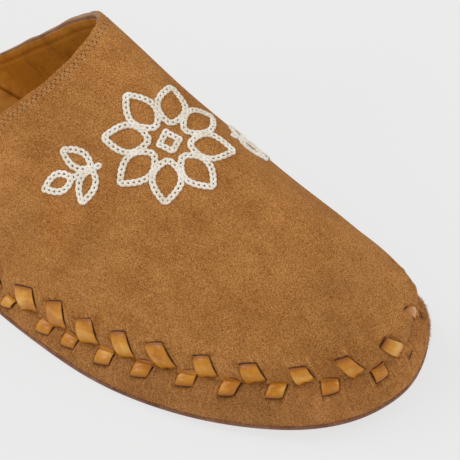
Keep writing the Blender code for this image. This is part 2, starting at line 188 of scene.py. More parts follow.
def suede(name, dark, middle, light, cloud=CLOUD):
    """Suede in three tones, with clouds of this size."""
    finish = Finish(name, middle, 0.94, Sheen_Weight=0.05, Sheen_Roughness=0.5,
                    Sheen_Tint=(0.95, 0.62, 0.34, 1.0), Specular_IOR_Level=0.06)
    clouds = finish.noise(cloud, detail=2.0, rough=0.5)
    strokes = finish.noise(STROKE, stretch=(0.6, 1.0, 1.0), warp=0.3)
    nap = finish.noise(NAP, detail=2.0, rough=0.6, stretch=(0.8, 1.0, 1.0))
    grain = finish.noise(GRAIN, detail=1.0, rough=0.6)
    seam_place = finish.node("ShaderNodeCombineXYZ", {},
                             {0: finish.stored("pleat_across") * (1.0 / PLEAT_WIDE),
                              1: finish.stored("pleat_along") * (1.0 / PLEAT_LONG)})
    pleats = finish.node("ShaderNodeTexNoise", {"noise_dimensions": "3D"},
                         {"Vector": seam_place, "Scale": 1.0, "Detail": 1.0, "Distortion": 0.5})
    pull = finish.stored("pull")
    # The pleat term paints light and shade of the pleats into the colour; the relief below bumps them
    # too.
    tone = (clouds * 0.18 + strokes * 0.17 + nap * 0.13 + grain * 0.52
            + (pleats - 0.5) * pull * 0.55)
    base = finish.mix(tone.between(0.39, 0.505), dark, middle)
    base = finish.mix(tone.between(0.500, 0.610), base, light)
    pits = 1.0 - grain.between(0.28, 0.44)
    base = finish.mix(pits * 0.6, base, tuple(0.62 * c for c in dark))
    # Scaled lighter or darker where the mesh says: partly brushed nap, partly painted light and shade.
    bright = SUEDE_BRIGHT + finish.stored("nap_and_painted_light")
    finish.colour(finish.node("ShaderNodeVectorMath", {"operation": "SCALE"}, {0: base, "Scale": bright}))
    finish.roughness(0.90 + 0.08 * nap)
    finish.relief(strokes * 0.20 + nap * 0.35 + grain * 0.45 + pleats * pull * 1.2, SUEDE_DEPTH)
    return finish.material


SUEDE = suede("brushed suede", (0.292, 0.108, 0.026), (0.420, 0.176, 0.046), (0.575, 0.268, 0.085))
RAND_SUEDE = suede("rand suede", (0.268, 0.102, 0.026), (0.385, 0.160, 0.043), (0.530, 0.245, 0.080),
                   cloud=0.016)
# Paler suede for the nap fibres: a painted highlight on their tips.
NAP_FIBRE_HIGHLIGHT = suede("nap fibre painted highlight", (0.400, 0.170, 0.045), (0.560, 0.270, 0.090), (0.700, 0.380, 0.150))
print("suede:", SUEDE.name, "and", RAND_SUEDE.name)

# %% [markdown]
# ## Leathers and thread
# The thong is smooth waxed leather: soft patches of tone, a low gloss and fine pores, with painted
# shade on its ends where they go into the slits and a painted highlight along its crest. Its cut
# edges are darker, partly their own colour and partly painted shade of the gap beside each strip.
# The lining and the footbed are thinner leathers with a dry shine. The sole's edge is burnished,
# its underside shows the hide, and cut edges are matt. A near black leather is painted shade in
# the slits, in the stitch holes and under the vamp's hem. The thread is matt cotton. All leathers
# are small changes on one recipe, so one function makes them: three tones of one colour, mixed by
# patches, with pores on top.

# %% Smooth leathers
PATCH = 0.0075
# A painted highlight along the thong's crest.
PAINTED_CREST_HIGHLIGHT = (0.860, 0.500, 0.120)


def leather(name, dark, middle, light, roughness, grain=0.0007, depth=0.00012, coat=0.0, ends=None):
    """Leather in three tones. With a colour for its ends, it paints shade on them and a crest highlight.
    """
    finish = Finish(name, middle, roughness, Coat_Weight=coat, Coat_Roughness=0.24,
                    Specular_IOR_Level=0.30)
    patches = finish.noise(PATCH, detail=4.0, rough=0.6, warp=0.5)
    pores = finish.cells(grain)
    fine = finish.noise(grain * 0.6, rough=0.6)
    tone = patches * 0.75 + fine * 0.25
    base = finish.mix(tone.between(0.34, 0.50), dark, middle)
    base = finish.mix(tone.between(0.50, 0.68), base, light)
    base = finish.mix(pores.between(0.45, 0.95) * 0.35, base, tuple(0.7 * c for c in dark))
    # Painted light on the thong, read from the mesh: a highlight on its crest and shade on its ends.
    if ends:
        end_shade_to_crest_light = finish.stored("end_shade_to_crest_light")
        crest = end_shade_to_crest_light.between(0.78, 1.0) * patches.between(0.42, 0.62) * 0.42
        base = finish.mix(crest, base, PAINTED_CREST_HIGHLIGHT)
        base = finish.mix(1.0 - end_shade_to_crest_light.between(0.0, 0.75), base, ends)
    finish.colour(base)
    finish.roughness(roughness - 0.06 + 0.14 * patches)
    finish.relief(fine * 0.4 - pores * 0.6, depth)
    return finish.material


THONG_LEATHER = leather("waxed thong leather", (0.450, 0.148, 0.007), (0.585, 0.226, 0.012),
                        (0.715, 0.330, 0.034), 0.31, grain=0.0008, coat=0.22,
                        ends=(0.330, 0.098, 0.007))
# The thong's cut edges: dark brown, partly their own colour and partly painted shade of the gap beside
# each strip.
THONG_EDGE_AND_SHADE = leather("thong edge and painted shade", (0.150, 0.045, 0.006), (0.230, 0.080, 0.010),
                     (0.320, 0.120, 0.020), 0.70, grain=0.0006)
LINING_LEATHER = leather("lining leather", (0.330, 0.108, 0.005), (0.440, 0.160, 0.008),
                         (0.540, 0.215, 0.018), 0.46, grain=0.0009, depth=0.00014, coat=0.05)
BED_LEATHER = leather("footbed leather", (0.320, 0.108, 0.008), (0.420, 0.158, 0.012),
                      (0.510, 0.210, 0.024), 0.50, grain=0.0011, depth=0.00016, coat=0.04)
SOLE_LEATHER = leather("burnished sole leather", (0.140, 0.052, 0.028), (0.225, 0.094, 0.052),
                       (0.320, 0.150, 0.088), 0.55, grain=0.0014, depth=0.00016, coat=0.02)
UNDERSIDE_LEATHER = leather("underside leather", (0.155, 0.062, 0.022), (0.230, 0.100, 0.038),
                            (0.310, 0.145, 0.060), 0.62, grain=0.0013, depth=0.00018)
CUT_EDGE = leather("cut edge", (0.265, 0.140, 0.072), (0.365, 0.205, 0.108),
                   (0.460, 0.280, 0.160), 0.80, grain=0.0005, depth=0.00016)
RAW_EDGE = leather("raw suede edge", (0.285, 0.115, 0.032), (0.420, 0.185, 0.058),
                   (0.560, 0.275, 0.105), 0.90, grain=0.0005, depth=0.00016)
# Near black: painted shade for the slits, the stitch holes and the rand's row under the vamp's hem.
PAINTED_SHADE = leather("painted shade", (0.045, 0.015, 0.005), (0.080, 0.028, 0.010),
                     (0.120, 0.046, 0.016), 0.85, grain=0.0005, depth=0.00010)
print("leathers ready")

# %% Thread
STRAND, SOILED, THREAD_DEPTH = 0.00026, 0.004, 0.00009


def thread(name, dark, light):
    """Twisted cotton: strands across it, and a slow change of tone."""
    finish = Finish(name, light, 0.8, Sheen_Weight=0.12, Specular_IOR_Level=0.2)
    strands = finish.noise(STRAND, rough=0.7, stretch=(1.0, 0.45, 1.0))
    soiled = finish.noise(SOILED, detail=2.0)
    finish.colour(finish.mix((strands * 0.6 + soiled * 0.4).between(0.36, 0.60), dark, light))
    finish.relief(strands, THREAD_DEPTH)
    return finish.material


CREAM_THREAD = thread("cream thread", (0.780, 0.680, 0.530), (0.980, 0.935, 0.840))
TAN_THREAD = thread("tan thread", (0.380, 0.175, 0.055), (0.580, 0.310, 0.115))
print("threads ready")

# %% [markdown]
# ## The last
# A shoe is drawn on a last, a wooden foot. Its outline is a closed curve through a few measured
# stations; the seam runs inside it at its own height; the vamp is a rounded section over each
# station, and ahead of the crown the sections turn round it like the ribs of a fan. Sculpting by
# hand would lose the link to the CAD part, so the same stations are written here as shares.

# %% Stations of the last
LENGTH, BALL_WIDTH, HEEL_WIDTH, INSTEP_HEIGHT = 0.2430, 0.0900, 0.0620, 0.0709
TOE_SPRING, SPRING_RUN, WAIST_LIFT = 0.0046, 0.0780, 0.0010
OUTSOLE, INSOLE, INSOLE_INSET, GAP = 0.0020, 0.0025, 0.0038, 0.0003
RAND_WALL, RAND_BULGE, RAND_FOOT, EDGE_EASE = 0.0016, 0.0014, 0.0006, 0.0004
SEAM_INSET, SEAM_HEIGHT, SEAM_STEP = 0.0073, 0.0128, 0.0007
CROWN_BACK, CROWN_SIDE, INSTEP_SIDE = 0.0435, 0.0025, 0.0075
SIDE_POWER, TOE_POWER = 1.80, 2.95
RING = 480

# Share of the length, share of the local width: round the sole from the heel by the outer side.
OUTLINE = (
    (0.000, +0.016), (0.018, -0.242), (0.072, -0.419), (0.150, -0.492),
    (0.253, -0.524), (0.356, -0.538), (0.444, -0.532), (0.529, -0.509),
    (0.606, -0.497), (0.679, -0.499), (0.752, -0.478), (0.820, -0.430),
    (0.880, -0.358), (0.932, -0.260), (0.966, -0.161), (0.988, -0.061),
    (1.000, +0.089), (0.991, +0.218), (0.972, +0.320), (0.939, +0.413),
    (0.888, +0.470), (0.823, +0.498), (0.752, +0.500), (0.679, +0.489),
    (0.606, +0.468), (0.529, +0.457), (0.444, +0.455), (0.356, +0.468),
    (0.253, +0.493), (0.150, +0.500), (0.072, +0.444), (0.018, +0.274),
)
# Share of the length back from the toe, with minus on the outer side, and millimetres by which the
# foot of the rand and the sole spread over the plain outline.
FLARE = (
    (-1.00, 0.2), (-0.60, 1.2), (-0.43, 1.6), (-0.36, 1.4), (-0.28, 1.0), (-0.20, 0.5),
    (-0.13, 0.5), (-0.09, 0.9), (-0.05, 1.9), (-0.03, 2.1), (-0.01, 1.6), (0.00, 0.8),
    (0.01, -0.4), (0.05, -0.5), (0.12, -0.2), (0.25, 0.0), (1.00, 0.2),
)
FLARE_HEIGHT = 0.0075
# Share of the length back from the toe, share of SEAM_INSET, share of SEAM_HEIGHT.
SEAM = (
    (0.000, 0.49, 1.00), (0.006, 0.63, 0.97), (0.021, 0.77, 0.94), (0.056, 0.95, 0.94),
    (0.105, 1.00, 0.94), (0.158, 0.96, 0.91), (0.214, 0.89, 0.87), (0.270, 0.77, 0.80),
    (0.327, 0.59, 0.71), (0.385, 0.44, 0.63), (0.438, 0.33, 0.57), (0.500, 0.27, 0.55),
    (0.576, 0.25, 0.55), (0.680, 0.22, 0.53), (0.760, 0.20, 0.47), (1.000, 0.20, 0.45),
)
# Share of the length from the heel, share of INSTEP_HEIGHT.
RIDGE = (
    (0.377, 1.109), (0.500, 0.968), (0.582, 0.849), (0.665, 0.750),
    (0.747, 0.669), (0.829, 0.612), (0.912, 0.486),
)
# Share of the way up the section, share of the length from the heel.
COLLAR_OUTER = (
    (0.00, 0.200), (0.02, 0.218), (0.06, 0.248), (0.12, 0.298), (0.20, 0.348), (0.30, 0.393),
    (0.40, 0.425), (0.51, 0.450), (0.59, 0.465), (0.685, 0.480), (0.80, 0.488), (0.90, 0.487),
    (1.00, 0.480),
)
COLLAR_INNER = (
    (0.00, 0.200), (0.04, 0.222), (0.09, 0.249), (0.13, 0.268), (0.175, 0.288), (0.225, 0.308),
    (0.27, 0.328), (0.32, 0.346), (0.375, 0.365), (0.44, 0.384), (0.505, 0.404), (0.59, 0.427),
    (0.70, 0.449), (0.85, 0.470), (1.00, 0.480),
)
print(len(OUTLINE), "stations round the sole")

# %% [markdown]
# ## Curves through the stations
# Straight lines between stations would show as corners. A cubic spline is the bent lath of the
# pattern room: it passes every station with no corner, and solving it takes one small matrix.

# %% The bent lath
def ease(t):
    t = np.clip(t, 0.0, 1.0)
    return t * t * (3.0 - 2.0 * t)


class Lath:
    """A smooth curve through values at the places t."""

    def __init__(self, t, values, closed=False):
        self.t, self.values = np.asarray(t, float), np.asarray(values, float)
        n = len(self.t) - 1 if closed else len(self.t)
        h = np.diff(self.t)
        a, b = np.zeros((n, n)), np.zeros((n,) + self.values.shape[1:])
        for i in range(n):
            if not closed and i in (0, n - 1):
                a[i, i] = 1.0
                continue
            back, ahead = h[i - 1], h[i]
            a[i, (i - 1) % n] += back
            a[i, i] += 2.0 * (back + ahead)
            a[i, (i + 1) % n] += ahead
            before = self.values[i - 1 if i else n - 1]
            b[i] = 6.0 * ((self.values[i + 1] - self.values[i]) / ahead
                          - (self.values[i] - before) / back)
        m = np.linalg.solve(a, b)
        self.m = np.concatenate([m, m[:1]]) if closed else m

    def __call__(self, u):
        t, v, m = self.t, self.values, self.m
        k = np.clip(np.searchsorted(t, u, side="right") - 1, 0, len(t) - 2)
        shape = np.shape(u) + (1,) * (v.ndim - 1)
        a, b, h = (np.reshape(x, shape) for x in (t[k + 1] - u, u - t[k], t[k + 1] - t[k]))
        return (m[k] * a ** 3 / (6 * h) + m[k + 1] * b ** 3 / (6 * h)
                + (v[k] / h - m[k] * h / 6) * a + (v[k + 1] / h - m[k + 1] * h / 6) * b)


def by_chord(points):
    """How far each point lies along the line through them."""
    return np.concatenate([[0.0], np.cumsum(np.linalg.norm(np.diff(points, axis=0), axis=1))])


def around(values, reach=0.025):
    """A value per ring step, evened out along the closed ring."""
    half = int(len(values) * reach)
    weight = np.hanning(2 * half + 3)[1:-1]
    long = np.concatenate([values[-half:], values, values[:half]])
    return np.convolve(long, weight / weight.sum(), "valid")


print("laths ready")

# %% The sole's edge and the seam
WAIST_START, WAIST_END, WAIST_EASE = 0.20, 0.42, 0.16
WIDEN_FROM, WIDEN_RUN = 0.25, 0.40
CHORD_POWER = 0.75


def ground(x):
    """Height of the sole's underside: flat, lifted a little at the waist, sprung at the toe."""
    spring = np.clip((x - (LENGTH / 2 - SPRING_RUN)) / SPRING_RUN, 0.0, 1.0)
    u = x / LENGTH + 0.5
    waist = ease((u - WAIST_START) / WAIST_EASE) * (1.0 - ease((u - WAIST_END) / WAIST_EASE))
    return TOE_SPRING * spring ** 2 + WAIST_LIFT * waist


def sole_ring():
    """The sole's outline in even steps, and the way inwards at each step."""
    rows = []
    for along, across in OUTLINE:
        width = HEEL_WIDTH + (BALL_WIDTH - HEEL_WIDTH) * ease((along - WIDEN_FROM) / WIDEN_RUN)
        rows.append(((along - 0.5) * LENGTH, across * width))
    rows = np.array(rows + rows[:1])
    chords = np.linalg.norm(np.diff(rows, axis=0), axis=1)
    t = np.concatenate([[0.0], np.cumsum(chords ** CHORD_POWER)])
    fine = Lath(t, rows, True)(np.linspace(0.0, t[-1], 4001))
    s = by_chord(fine)
    even = np.arange(RING) / RING * s[-1]
    edge = np.column_stack([around(np.interp(even, s, fine[:, c]), 0.008) for c in (0, 1)])
    step = np.roll(edge, -1, axis=0) - np.roll(edge, 1, axis=0)
    inward = np.column_stack([-step[:, 1], step[:, 0]])
    return edge, inward / np.linalg.norm(inward, axis=1)[:, None]


EDGE, INWARD = sole_ring()
print("the tip of the sole in mm", in_mm(EDGE[EDGE[:, 0].argmax()]))

# %% Points by the sole's edge, and the seam's line
def ring_value(values, i):
    """A value between two ring steps."""
    k = np.floor(i).astype(int)
    f = np.reshape(i - k, np.shape(i) + (1,) * (values.ndim - 1))
    return values[k % RING] * (1 - f) + values[(k + 1) % RING] * f


def ring_point(i, inset, up):
    """A point by the sole's edge: ring step, distance in from the edge, height above the ground."""
    i = np.asarray(i, float)
    edge = ring_value(EDGE, i)
    inset = inset - ring_value(SPREAD, i) * (1.0 - ease(np.asarray(up, float) / FLARE_HEIGHT))
    xy = edge + ring_value(INWARD, i) * np.asarray(inset, float)[..., None]
    return np.concatenate([xy, (ground(edge[..., 0]) + up)[..., None]], axis=-1)


share_back = 0.5 - EDGE[:, 0] / LENGTH
signed_share = np.where(np.arange(RING) < EDGE[:, 0].argmax(), -share_back, share_back)
SPREAD = around(np.interp(signed_share, *np.array(FLARE).T)) * MM
SEAM_IN = around(np.interp(share_back, *np.array(SEAM).T[[0, 1]]) * SEAM_INSET)
SEAM_UP = around(np.interp(share_back, *np.array(SEAM).T[[0, 2]]) * SEAM_HEIGHT)
SEAM_LINE = ring_point(np.arange(RING), SEAM_IN, SEAM_UP)
TOE_STEP = int(SEAM_LINE[:, 0].argmax())
print("foremost point of the seam in mm", in_mm(SEAM_LINE[TOE_STEP]))

# %% The ridge and the crown
RIDGE_PAST_PEAK, TINY = 1.4, 1e-5
CROWN_X = LENGTH / 2 - CROWN_BACK
PEAK_X = (COLLAR_OUTER[-1][1] - 0.5) * LENGTH
ridge_height = Lath([(along - 0.5) * LENGTH for along, _ in RIDGE],
                    [up * INSTEP_HEIGHT for _, up in RIDGE])


def ridge_side(x):
    """How far to the inner side the ridge runs: a little at the crown, more at the peak."""
    t = np.clip((CROWN_X - x) / (CROWN_X - PEAK_X), 0.0, RIDGE_PAST_PEAK)
    return SEAM_LINE[TOE_STEP, 1] + CROWN_SIDE + (INSTEP_SIDE - CROWN_SIDE) * t


def by_x(points):
    """The same points, ordered from heel to toe."""
    return points[np.argsort(points[:, 0])]


OUTER_SEAM, INNER_SEAM = by_x(SEAM_LINE[:TOE_STEP + 1]), by_x(SEAM_LINE[TOE_STEP:])
CROWN = np.array([CROWN_X, float(ridge_side(CROWN_X)), float(ridge_height(CROWN_X))])
CROWN_SLOPE = float(ridge_height(CROWN_X + TINY) - ridge_height(CROWN_X - TINY)) / (2 * TINY)


def toe_table():
    """The seam ahead of the crown, ordered by its direction from there."""
    rows = [SEAM_LINE[k] for k in range(RING) if SEAM_LINE[k, 0] > CROWN_X]
    for line in (OUTER_SEAM, INNER_SEAM):
        rows.append([CROWN_X] + [np.interp(CROWN_X, line[:, 0], line[:, c]) for c in (1, 2)])
    rows = np.array(rows)
    angle = np.arctan2(rows[:, 1] - CROWN[1], rows[:, 0] - CROWN[0])
    order = np.argsort(angle)
    return angle[order], rows[order]


TOE_ANGLE, TOE_SEAM = toe_table()
print("crown at", in_mm(CROWN))

# %% The sections over the ridge and round the crown
def section(phi, power):
    """Share of the half width and of the height, from the seam (0) to the ridge (1)."""
    turn = np.clip(phi, 0.0, 1.0) * math.pi / 2
    return np.where(phi >= 1.0, 0.0, np.cos(turn) ** (2.0 / power)), np.sin(turn) ** (2.0 / power)


def side_point(x, phi, inner):
    """A point of the vamp behind the crown, on the outer or the inner side."""
    x, phi = np.broadcast_arrays(np.asarray(x, float), np.asarray(phi, float))
    line = INNER_SEAM if inner else OUTER_SEAM
    y, z = (np.interp(x, line[:, 0], line[:, c]) for c in (1, 2))
    wide, high = section(phi, SIDE_POWER)
    middle = ridge_side(x)
    return np.stack([x, middle + (y - middle) * wide, z + (ridge_height(x) - z) * high], axis=-1)


def toe_point(angle, phi):
    """A point of the vamp ahead of the crown, on the rib that leaves it at this angle."""
    angle, phi = np.broadcast_arrays(np.asarray(angle, float), np.asarray(phi, float))
    x, y, z = (np.interp(angle, TOE_ANGLE, TOE_SEAM[:, c]) for c in (0, 1, 2))
    wide, high = section(phi, SIDE_POWER + (TOE_POWER - SIDE_POWER) * np.cos(angle) ** 2)
    reach = np.hypot(x - CROWN[0], y - CROWN[1]) * wide
    ahead = reach * np.cos(angle)
    top = CROWN[2] + CROWN_SLOPE * ahead
    return np.stack([CROWN[0] + ahead, CROWN[1] + reach * np.sin(angle), z + (top - z) * high], axis=-1)


def over_seam(i, phi):
    """The vamp's outside above ring step i."""
    s = ring_value(SEAM_LINE, np.asarray(i, float))
    angle = np.arctan2(s[..., 1] - CROWN[1], s[..., 0] - CROWN[0])
    inner = (np.asarray(i) > TOE_STEP)[..., None]
    side = np.where(inner, side_point(s[..., 0], phi, True), side_point(s[..., 0], phi, False))
    toe = toe_point(np.clip(angle, TOE_ANGLE[0], TOE_ANGLE[-1]), phi)
    return np.where((s[..., 0] > CROWN_X)[..., None], toe, side)


print("half way up the outer side at mid-length, in mm:", in_mm(side_point(0.0, 0.5, False)))

# %% [markdown]
# ## Making meshes
# Nearly every piece here is a grid: columns along the seam and rows across it. A grid is quick with
# from_pydata, and smooth shading hides its small faces. One helper makes the object, gives it its
# finish, ties it to the CAD part and hides the plain nodes it stands for. Another stores values at
# its points for the finish to read, and a heap joins many small shapes in one piece.

# %% Helpers for pieces
def add_piece(name, points, faces, finishes, stands_for=(), picks=None):
    """Make an object of points and faces; picks says which finish each face has."""
    mesh = bpy.data.meshes.new(name)
    mesh.from_pydata(np.asarray(points, float).tolist(), [], [list(map(int, f)) for f in faces])
    for finish in finishes:
        mesh.materials.append(finish)
    if picks is not None:
        mesh.polygons.foreach_set("material_index", list(map(int, picks)))
    mesh.polygons.foreach_set("use_smooth", [True] * len(mesh.polygons))
    mesh.update()
    piece = bpy.data.objects.new(name, mesh)
    bpy.context.scene.collection.objects.link(piece)
    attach(piece, "root")
    if stands_for:
        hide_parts(*stands_for)
    print(name, len(faces), "faces")
    return piece


def mark(piece, name, values):
    """Store a value at each point of the mesh for the finish to read. Where there are fewer values
    than points, they repeat, so that the inside of a shell gets those of its outside."""
    layer = piece.data.attributes.new(name, "FLOAT", "POINT")
    layer.data.foreach_set("value", np.resize(values, len(piece.data.vertices)).astype(float))


def grid_faces(rows, columns, closed_rows=False, closed_columns=False):
    """Quads of a grid whose points are numbered row by row."""
    r = np.arange(rows if closed_rows else rows - 1)[:, None]
    c = np.arange(columns if closed_columns else columns - 1)[None, :]
    r1, c1 = (r + 1) % rows, (c + 1) % columns
    quads = np.stack(np.broadcast_arrays(r * columns + c, r * columns + c1, r1 * columns + c1,
                                         r1 * columns + c), axis=-1)
    return quads.reshape(-1, 4)


print("a grid of 3 rows and 4 columns has", len(grid_faces(3, 4)), "quads")

# %% A heap of small shapes, and directions
class Heap:
    """Many small shapes that become one piece."""

    def __init__(self):
        self.points, self.faces = [], []

    def add(self, points, faces):
        first = len(self.points)
        self.points.extend(np.asarray(points, float).reshape(-1, 3))
        self.faces.extend([[first + int(v) for v in face] for face in faces])


def unit(v):
    """The same directions, each with a length of 1."""
    return v / np.maximum(np.linalg.norm(v, axis=-1, keepdims=True), 1e-12)


print("helpers ready")

# %% [markdown]
# ## A map of the seam
# Slits, strips and puckers all sit by the seam, so they are placed in the shoe's own measures: how
# far along the seam from the toe, and how far up across it, with minus down the rand. The map turns
# both into a point. It is a table of lines across the seam, read by straight interpolation.

# %% The rand's section
BULGE_FULL_RISE = 0.5
LOW_HANDLE, HIGH_HANDLE, HIGH_DROP = 0.45, 0.45, 0.12


def rand_section(inset, height, rows, foot=OUTSOLE + GAP):
    """The rand's outside and inside as (in, up) points, both upwards."""
    top = height - GAP
    rise = top - foot
    start, end = np.array([RAND_FOOT, foot]), np.array([inset + SEAM_STEP, top])
    full = min(1.0, rise / (BULGE_FULL_RISE * SEAM_HEIGHT))
    low = start + np.array([-RAND_BULGE * full, rise * LOW_HANDLE])
    high = end + np.array([-(end[0] - start[0]) * HIGH_HANDLE - EDGE_EASE, -rise * HIGH_DROP])
    t = np.linspace(0.0, 1.0, rows)[:, None]
    outside = (start * (1 - t) ** 3 + 3 * low * t * (1 - t) ** 2
               + 3 * high * t ** 2 * (1 - t) + end * t ** 3)
    step = np.gradient(outside, axis=0)
    inward = unit(np.column_stack([step[:, 1], -step[:, 0]]))
    inside = outside + inward * RAND_WALL
    inside[0] = (start[0] + RAND_WALL, foot)
    inside[1:, 1] = np.maximum(inside[1:, 1], foot + EDGE_EASE)
    return outside, inside


print("the rand at the toe ends at a height in mm of", in_mm([SEAM_UP[TOE_STEP] - GAP]))

# %% The map
MAP_LOW, MAP_HIGH, MAP_STEP = -0.0150, 0.0180, 0.00025
RAND_ROWS, VAMP_LINES, VAMP_SHARE = 12, 60, 0.42


def seam_map():
    """For each ring step: points at even heights across the seam, and the room down the rand."""
    steps = np.arange(RING)
    rows = []
    outsides = np.array([rand_section(SEAM_IN[i], SEAM_UP[i], RAND_ROWS)[0] for i in steps])
    for k in range(RAND_ROWS):
        rows.append(ring_point(steps, outsides[:, k, 0], outsides[:, k, 1]))
    for phi in np.linspace(0.0, VAMP_SHARE, VAMP_LINES):
        rows.append(over_seam(steps, np.full(RING, phi)))
    lines = np.array(rows).transpose(1, 0, 2)
    levels = np.arange(MAP_LOW, MAP_HIGH, MAP_STEP)
    table, room = np.zeros((RING, len(levels), 3)), np.zeros(RING)
    for i in steps:
        gone = by_chord(lines[i])
        gone -= gone[RAND_ROWS]
        room[i] = -gone[0]
        for c in range(3):
            table[i, :, c] = np.interp(levels, gone, lines[i][:, c])
    arc = by_chord(SEAM_LINE)
    return table, room, arc - arc[TOE_STEP]


SEAM_TABLE, RAND_ROOM, SEAM_ARC = seam_map()
print("room on the rand in mm: toe, heel", in_mm([RAND_ROOM[TOE_STEP], RAND_ROOM[0]]))

# %% Reading the map
LEVEL_REACH = 0.0022


def by_seam(s, h):
    """The surface point s along the seam from the toe and h up across it."""
    s, h = np.broadcast_arrays(np.asarray(s, float), np.asarray(h, float))
    i = np.interp(s, SEAM_ARC, np.arange(RING))
    k = np.clip(np.floor(i).astype(int), 0, RING - 2)
    f = (i - k)[..., None]
    j = np.clip((h - MAP_LOW) / MAP_STEP, 0, SEAM_TABLE.shape[1] - 1.001)
    m = np.floor(j).astype(int)
    g = (j - m)[..., None]
    low = SEAM_TABLE[k, m] * (1 - f) + SEAM_TABLE[k + 1, m] * f
    high = SEAM_TABLE[k, m + 1] * (1 - f) + SEAM_TABLE[k + 1, m + 1] * f
    return low * (1 - g) + high * g


def off_seam(s, h, lift):
    """The same point lifted off the surface, along a direction evened out over LEVEL_REACH."""
    up = by_seam(s, h + LEVEL_REACH) - by_seam(s, h - LEVEL_REACH)
    along = by_seam(s + LEVEL_REACH, h) - by_seam(s - LEVEL_REACH, h)
    normal = unit(np.cross(along, up))
    return by_seam(s, h) + normal * np.asarray(lift, float)[..., None]


print("10 mm up the vamp from the foremost point of the seam:", in_mm(by_seam(0.0, 0.010)))

# %% [markdown]
# ## Where the thong goes
# One flat thong runs round the seam. Each chevron is an upper strip, from a slit in the vamp down to
# the seam, and a lower strip, from the seam down to a slit in the rand. A maker's awl never lands
# twice in the same place, so the strips on the side that shows best are placed one by one. The
# others follow the same rhythm, closer together towards the heel.

# %% The strips, one by one
PITCH, CHEVRONS, START, CROWDING = 0.0149, 25, 0.275, 0.009
# Corners in millimetres along the seam and up across it, each strip from its slit or its head:
# heel-side start, toe-side start, toe-side end, heel-side end. Strip 0 is at the toe, and the others
# are counted from there, with minus towards the heel along the outer side.
UPPER_STRIPS = {
    2: ((21.8, 11.0), (25.2, 12.8), (32.0, 4.0), (28.4, 0.5)),
    1: ((10.5, 9.6), (15.1, 7.9), (21.0, 0.8), (18.2, -2.2)),
    0: ((-5.2, 6.3), (-2.1, 8.1), (4.1, 1.6), (1.6, -2.2)),
    -1: ((-19.8, 6.8), (-15.6, 7.3), (-10.5, 1.1), (-13.6, -2.2)),
    -2: ((-33.6, 5.2), (-28.3, 5.7), (-25.4, 1.2), (-29.4, -2.2)),
    -3: ((-48.6, 5.7), (-43.2, 6.5), (-39.4, 0.9), (-44.3, -2.1)),
    -4: ((-62.9, 6.4), (-58.1, 7.5), (-53.8, 0.8), (-58.5, -1.9)),
    -5: ((-78.6, 6.7), (-73.0, 8.5), (-67.4, 1.1), (-71.8, -1.9)),
    -6: ((-90.0, 7.0), (-85.1, 8.4), (-80.7, -0.4), (-85.5, -1.9)),
    -7: ((-102.6, 6.3), (-96.9, 8.5), (-93.4, 0.7), (-99.2, -2.5)),
    -8: ((-114.4, 6.6), (-108.5, 9.3), (-105.6, 0.5), (-110.8, -2.4)),
    -9: ((-127.4, 5.0), (-120.3, 7.8), (-117.4, 0.7), (-122.7, -2.6)),
}
LOWER_STRIPS = {
    0: ((4.0, -1.0), (7.4, 0.2), (7.0, -4.2), (3.9, -5.0)),
    -1: ((-8.9, -1.4), (-4.9, -0.3), (-4.7, -4.6), (-8.4, -5.4)),
    -2: ((-23.6, 0.2), (-18.9, -0.9), (-19.4, -4.9), (-23.8, -5.6)),
    -3: ((-37.6, -0.9), (-33.4, -1.4), (-35.2, -5.7), (-39.6, -5.7)),
    -4: ((-51.2, 0.1), (-46.5, -1.2), (-48.9, -5.7), (-53.0, -6.1)),
    -5: ((-65.3, -0.5), (-60.5, 1.0), (-61.0, -4.8), (-65.8, -5.5)),
    -6: ((-79.4, -0.6), (-74.3, 0.2), (-75.0, -5.4), (-79.6, -6.3)),
    -7: ((-92.3, 0.6), (-87.6, 0.5), (-87.6, -5.4), (-92.1, -6.2)),
    -8: ((-105.0, 0.1), (-100.3, -1.0), (-100.3, -5.0), (-104.6, -5.7)),
    -9: ((-114.2, 0.1), (-110.0, -1.4), (-110.2, -5.0), (-114.8, -5.9)),
}
# Small moves of all strips of one kind, in the same order, found with the render beside the photograph.
HEEL_KIND_FROM = -4
HEEL_UPPER_MOVE = ((-0.2, 0.0), (0.2, 0.0), (0.7, 0.0), (1.1, 0.0))
TOE_UPPER_MOVE = ((0.0, 0.0), (0.2, 0.0), (-0.2, 0.0), (0.0, 0.0))
LOWER_MOVE = ((0.0, 1.2), (0.3, 1.2), (0.3, -0.4), (0.0, -0.4))
# The rhythm of the other strips: the same corners as shares of the pitch.
UPPER_PLAN = ((-0.638, 0.423), (-0.302, 0.523), (0.013, 0.060), (-0.295, -0.134))
LOWER_PLAN = ((0.118, -0.045), (0.416, -0.027), (0.336, -0.342), (0.087, -0.376))
PLAN_DEPTH, ROOM_USED, WANDER = 0.376, 0.80, 0.00035
HALF = CHEVRONS // 2
print(len(UPPER_STRIPS), "upper and", len(LOWER_STRIPS), "lower strips are placed by hand")

# %% From the tables to all strips
def chevron_foot(k):
    """Where a chevron stands along the seam; they crowd a little towards the heel."""
    return PITCH * (START + k - CROWDING * k * abs(k))


def placed_strip(k, upper):
    """A strip placed by hand, with the small move that all strips of its kind get."""
    if upper:
        move = HEEL_UPPER_MOVE if k < HEEL_KIND_FROM else TOE_UPPER_MOVE
        return (np.array(UPPER_STRIPS[k]) + move) * MM
    return (np.array(LOWER_STRIPS[k]) + LOWER_MOVE) * MM


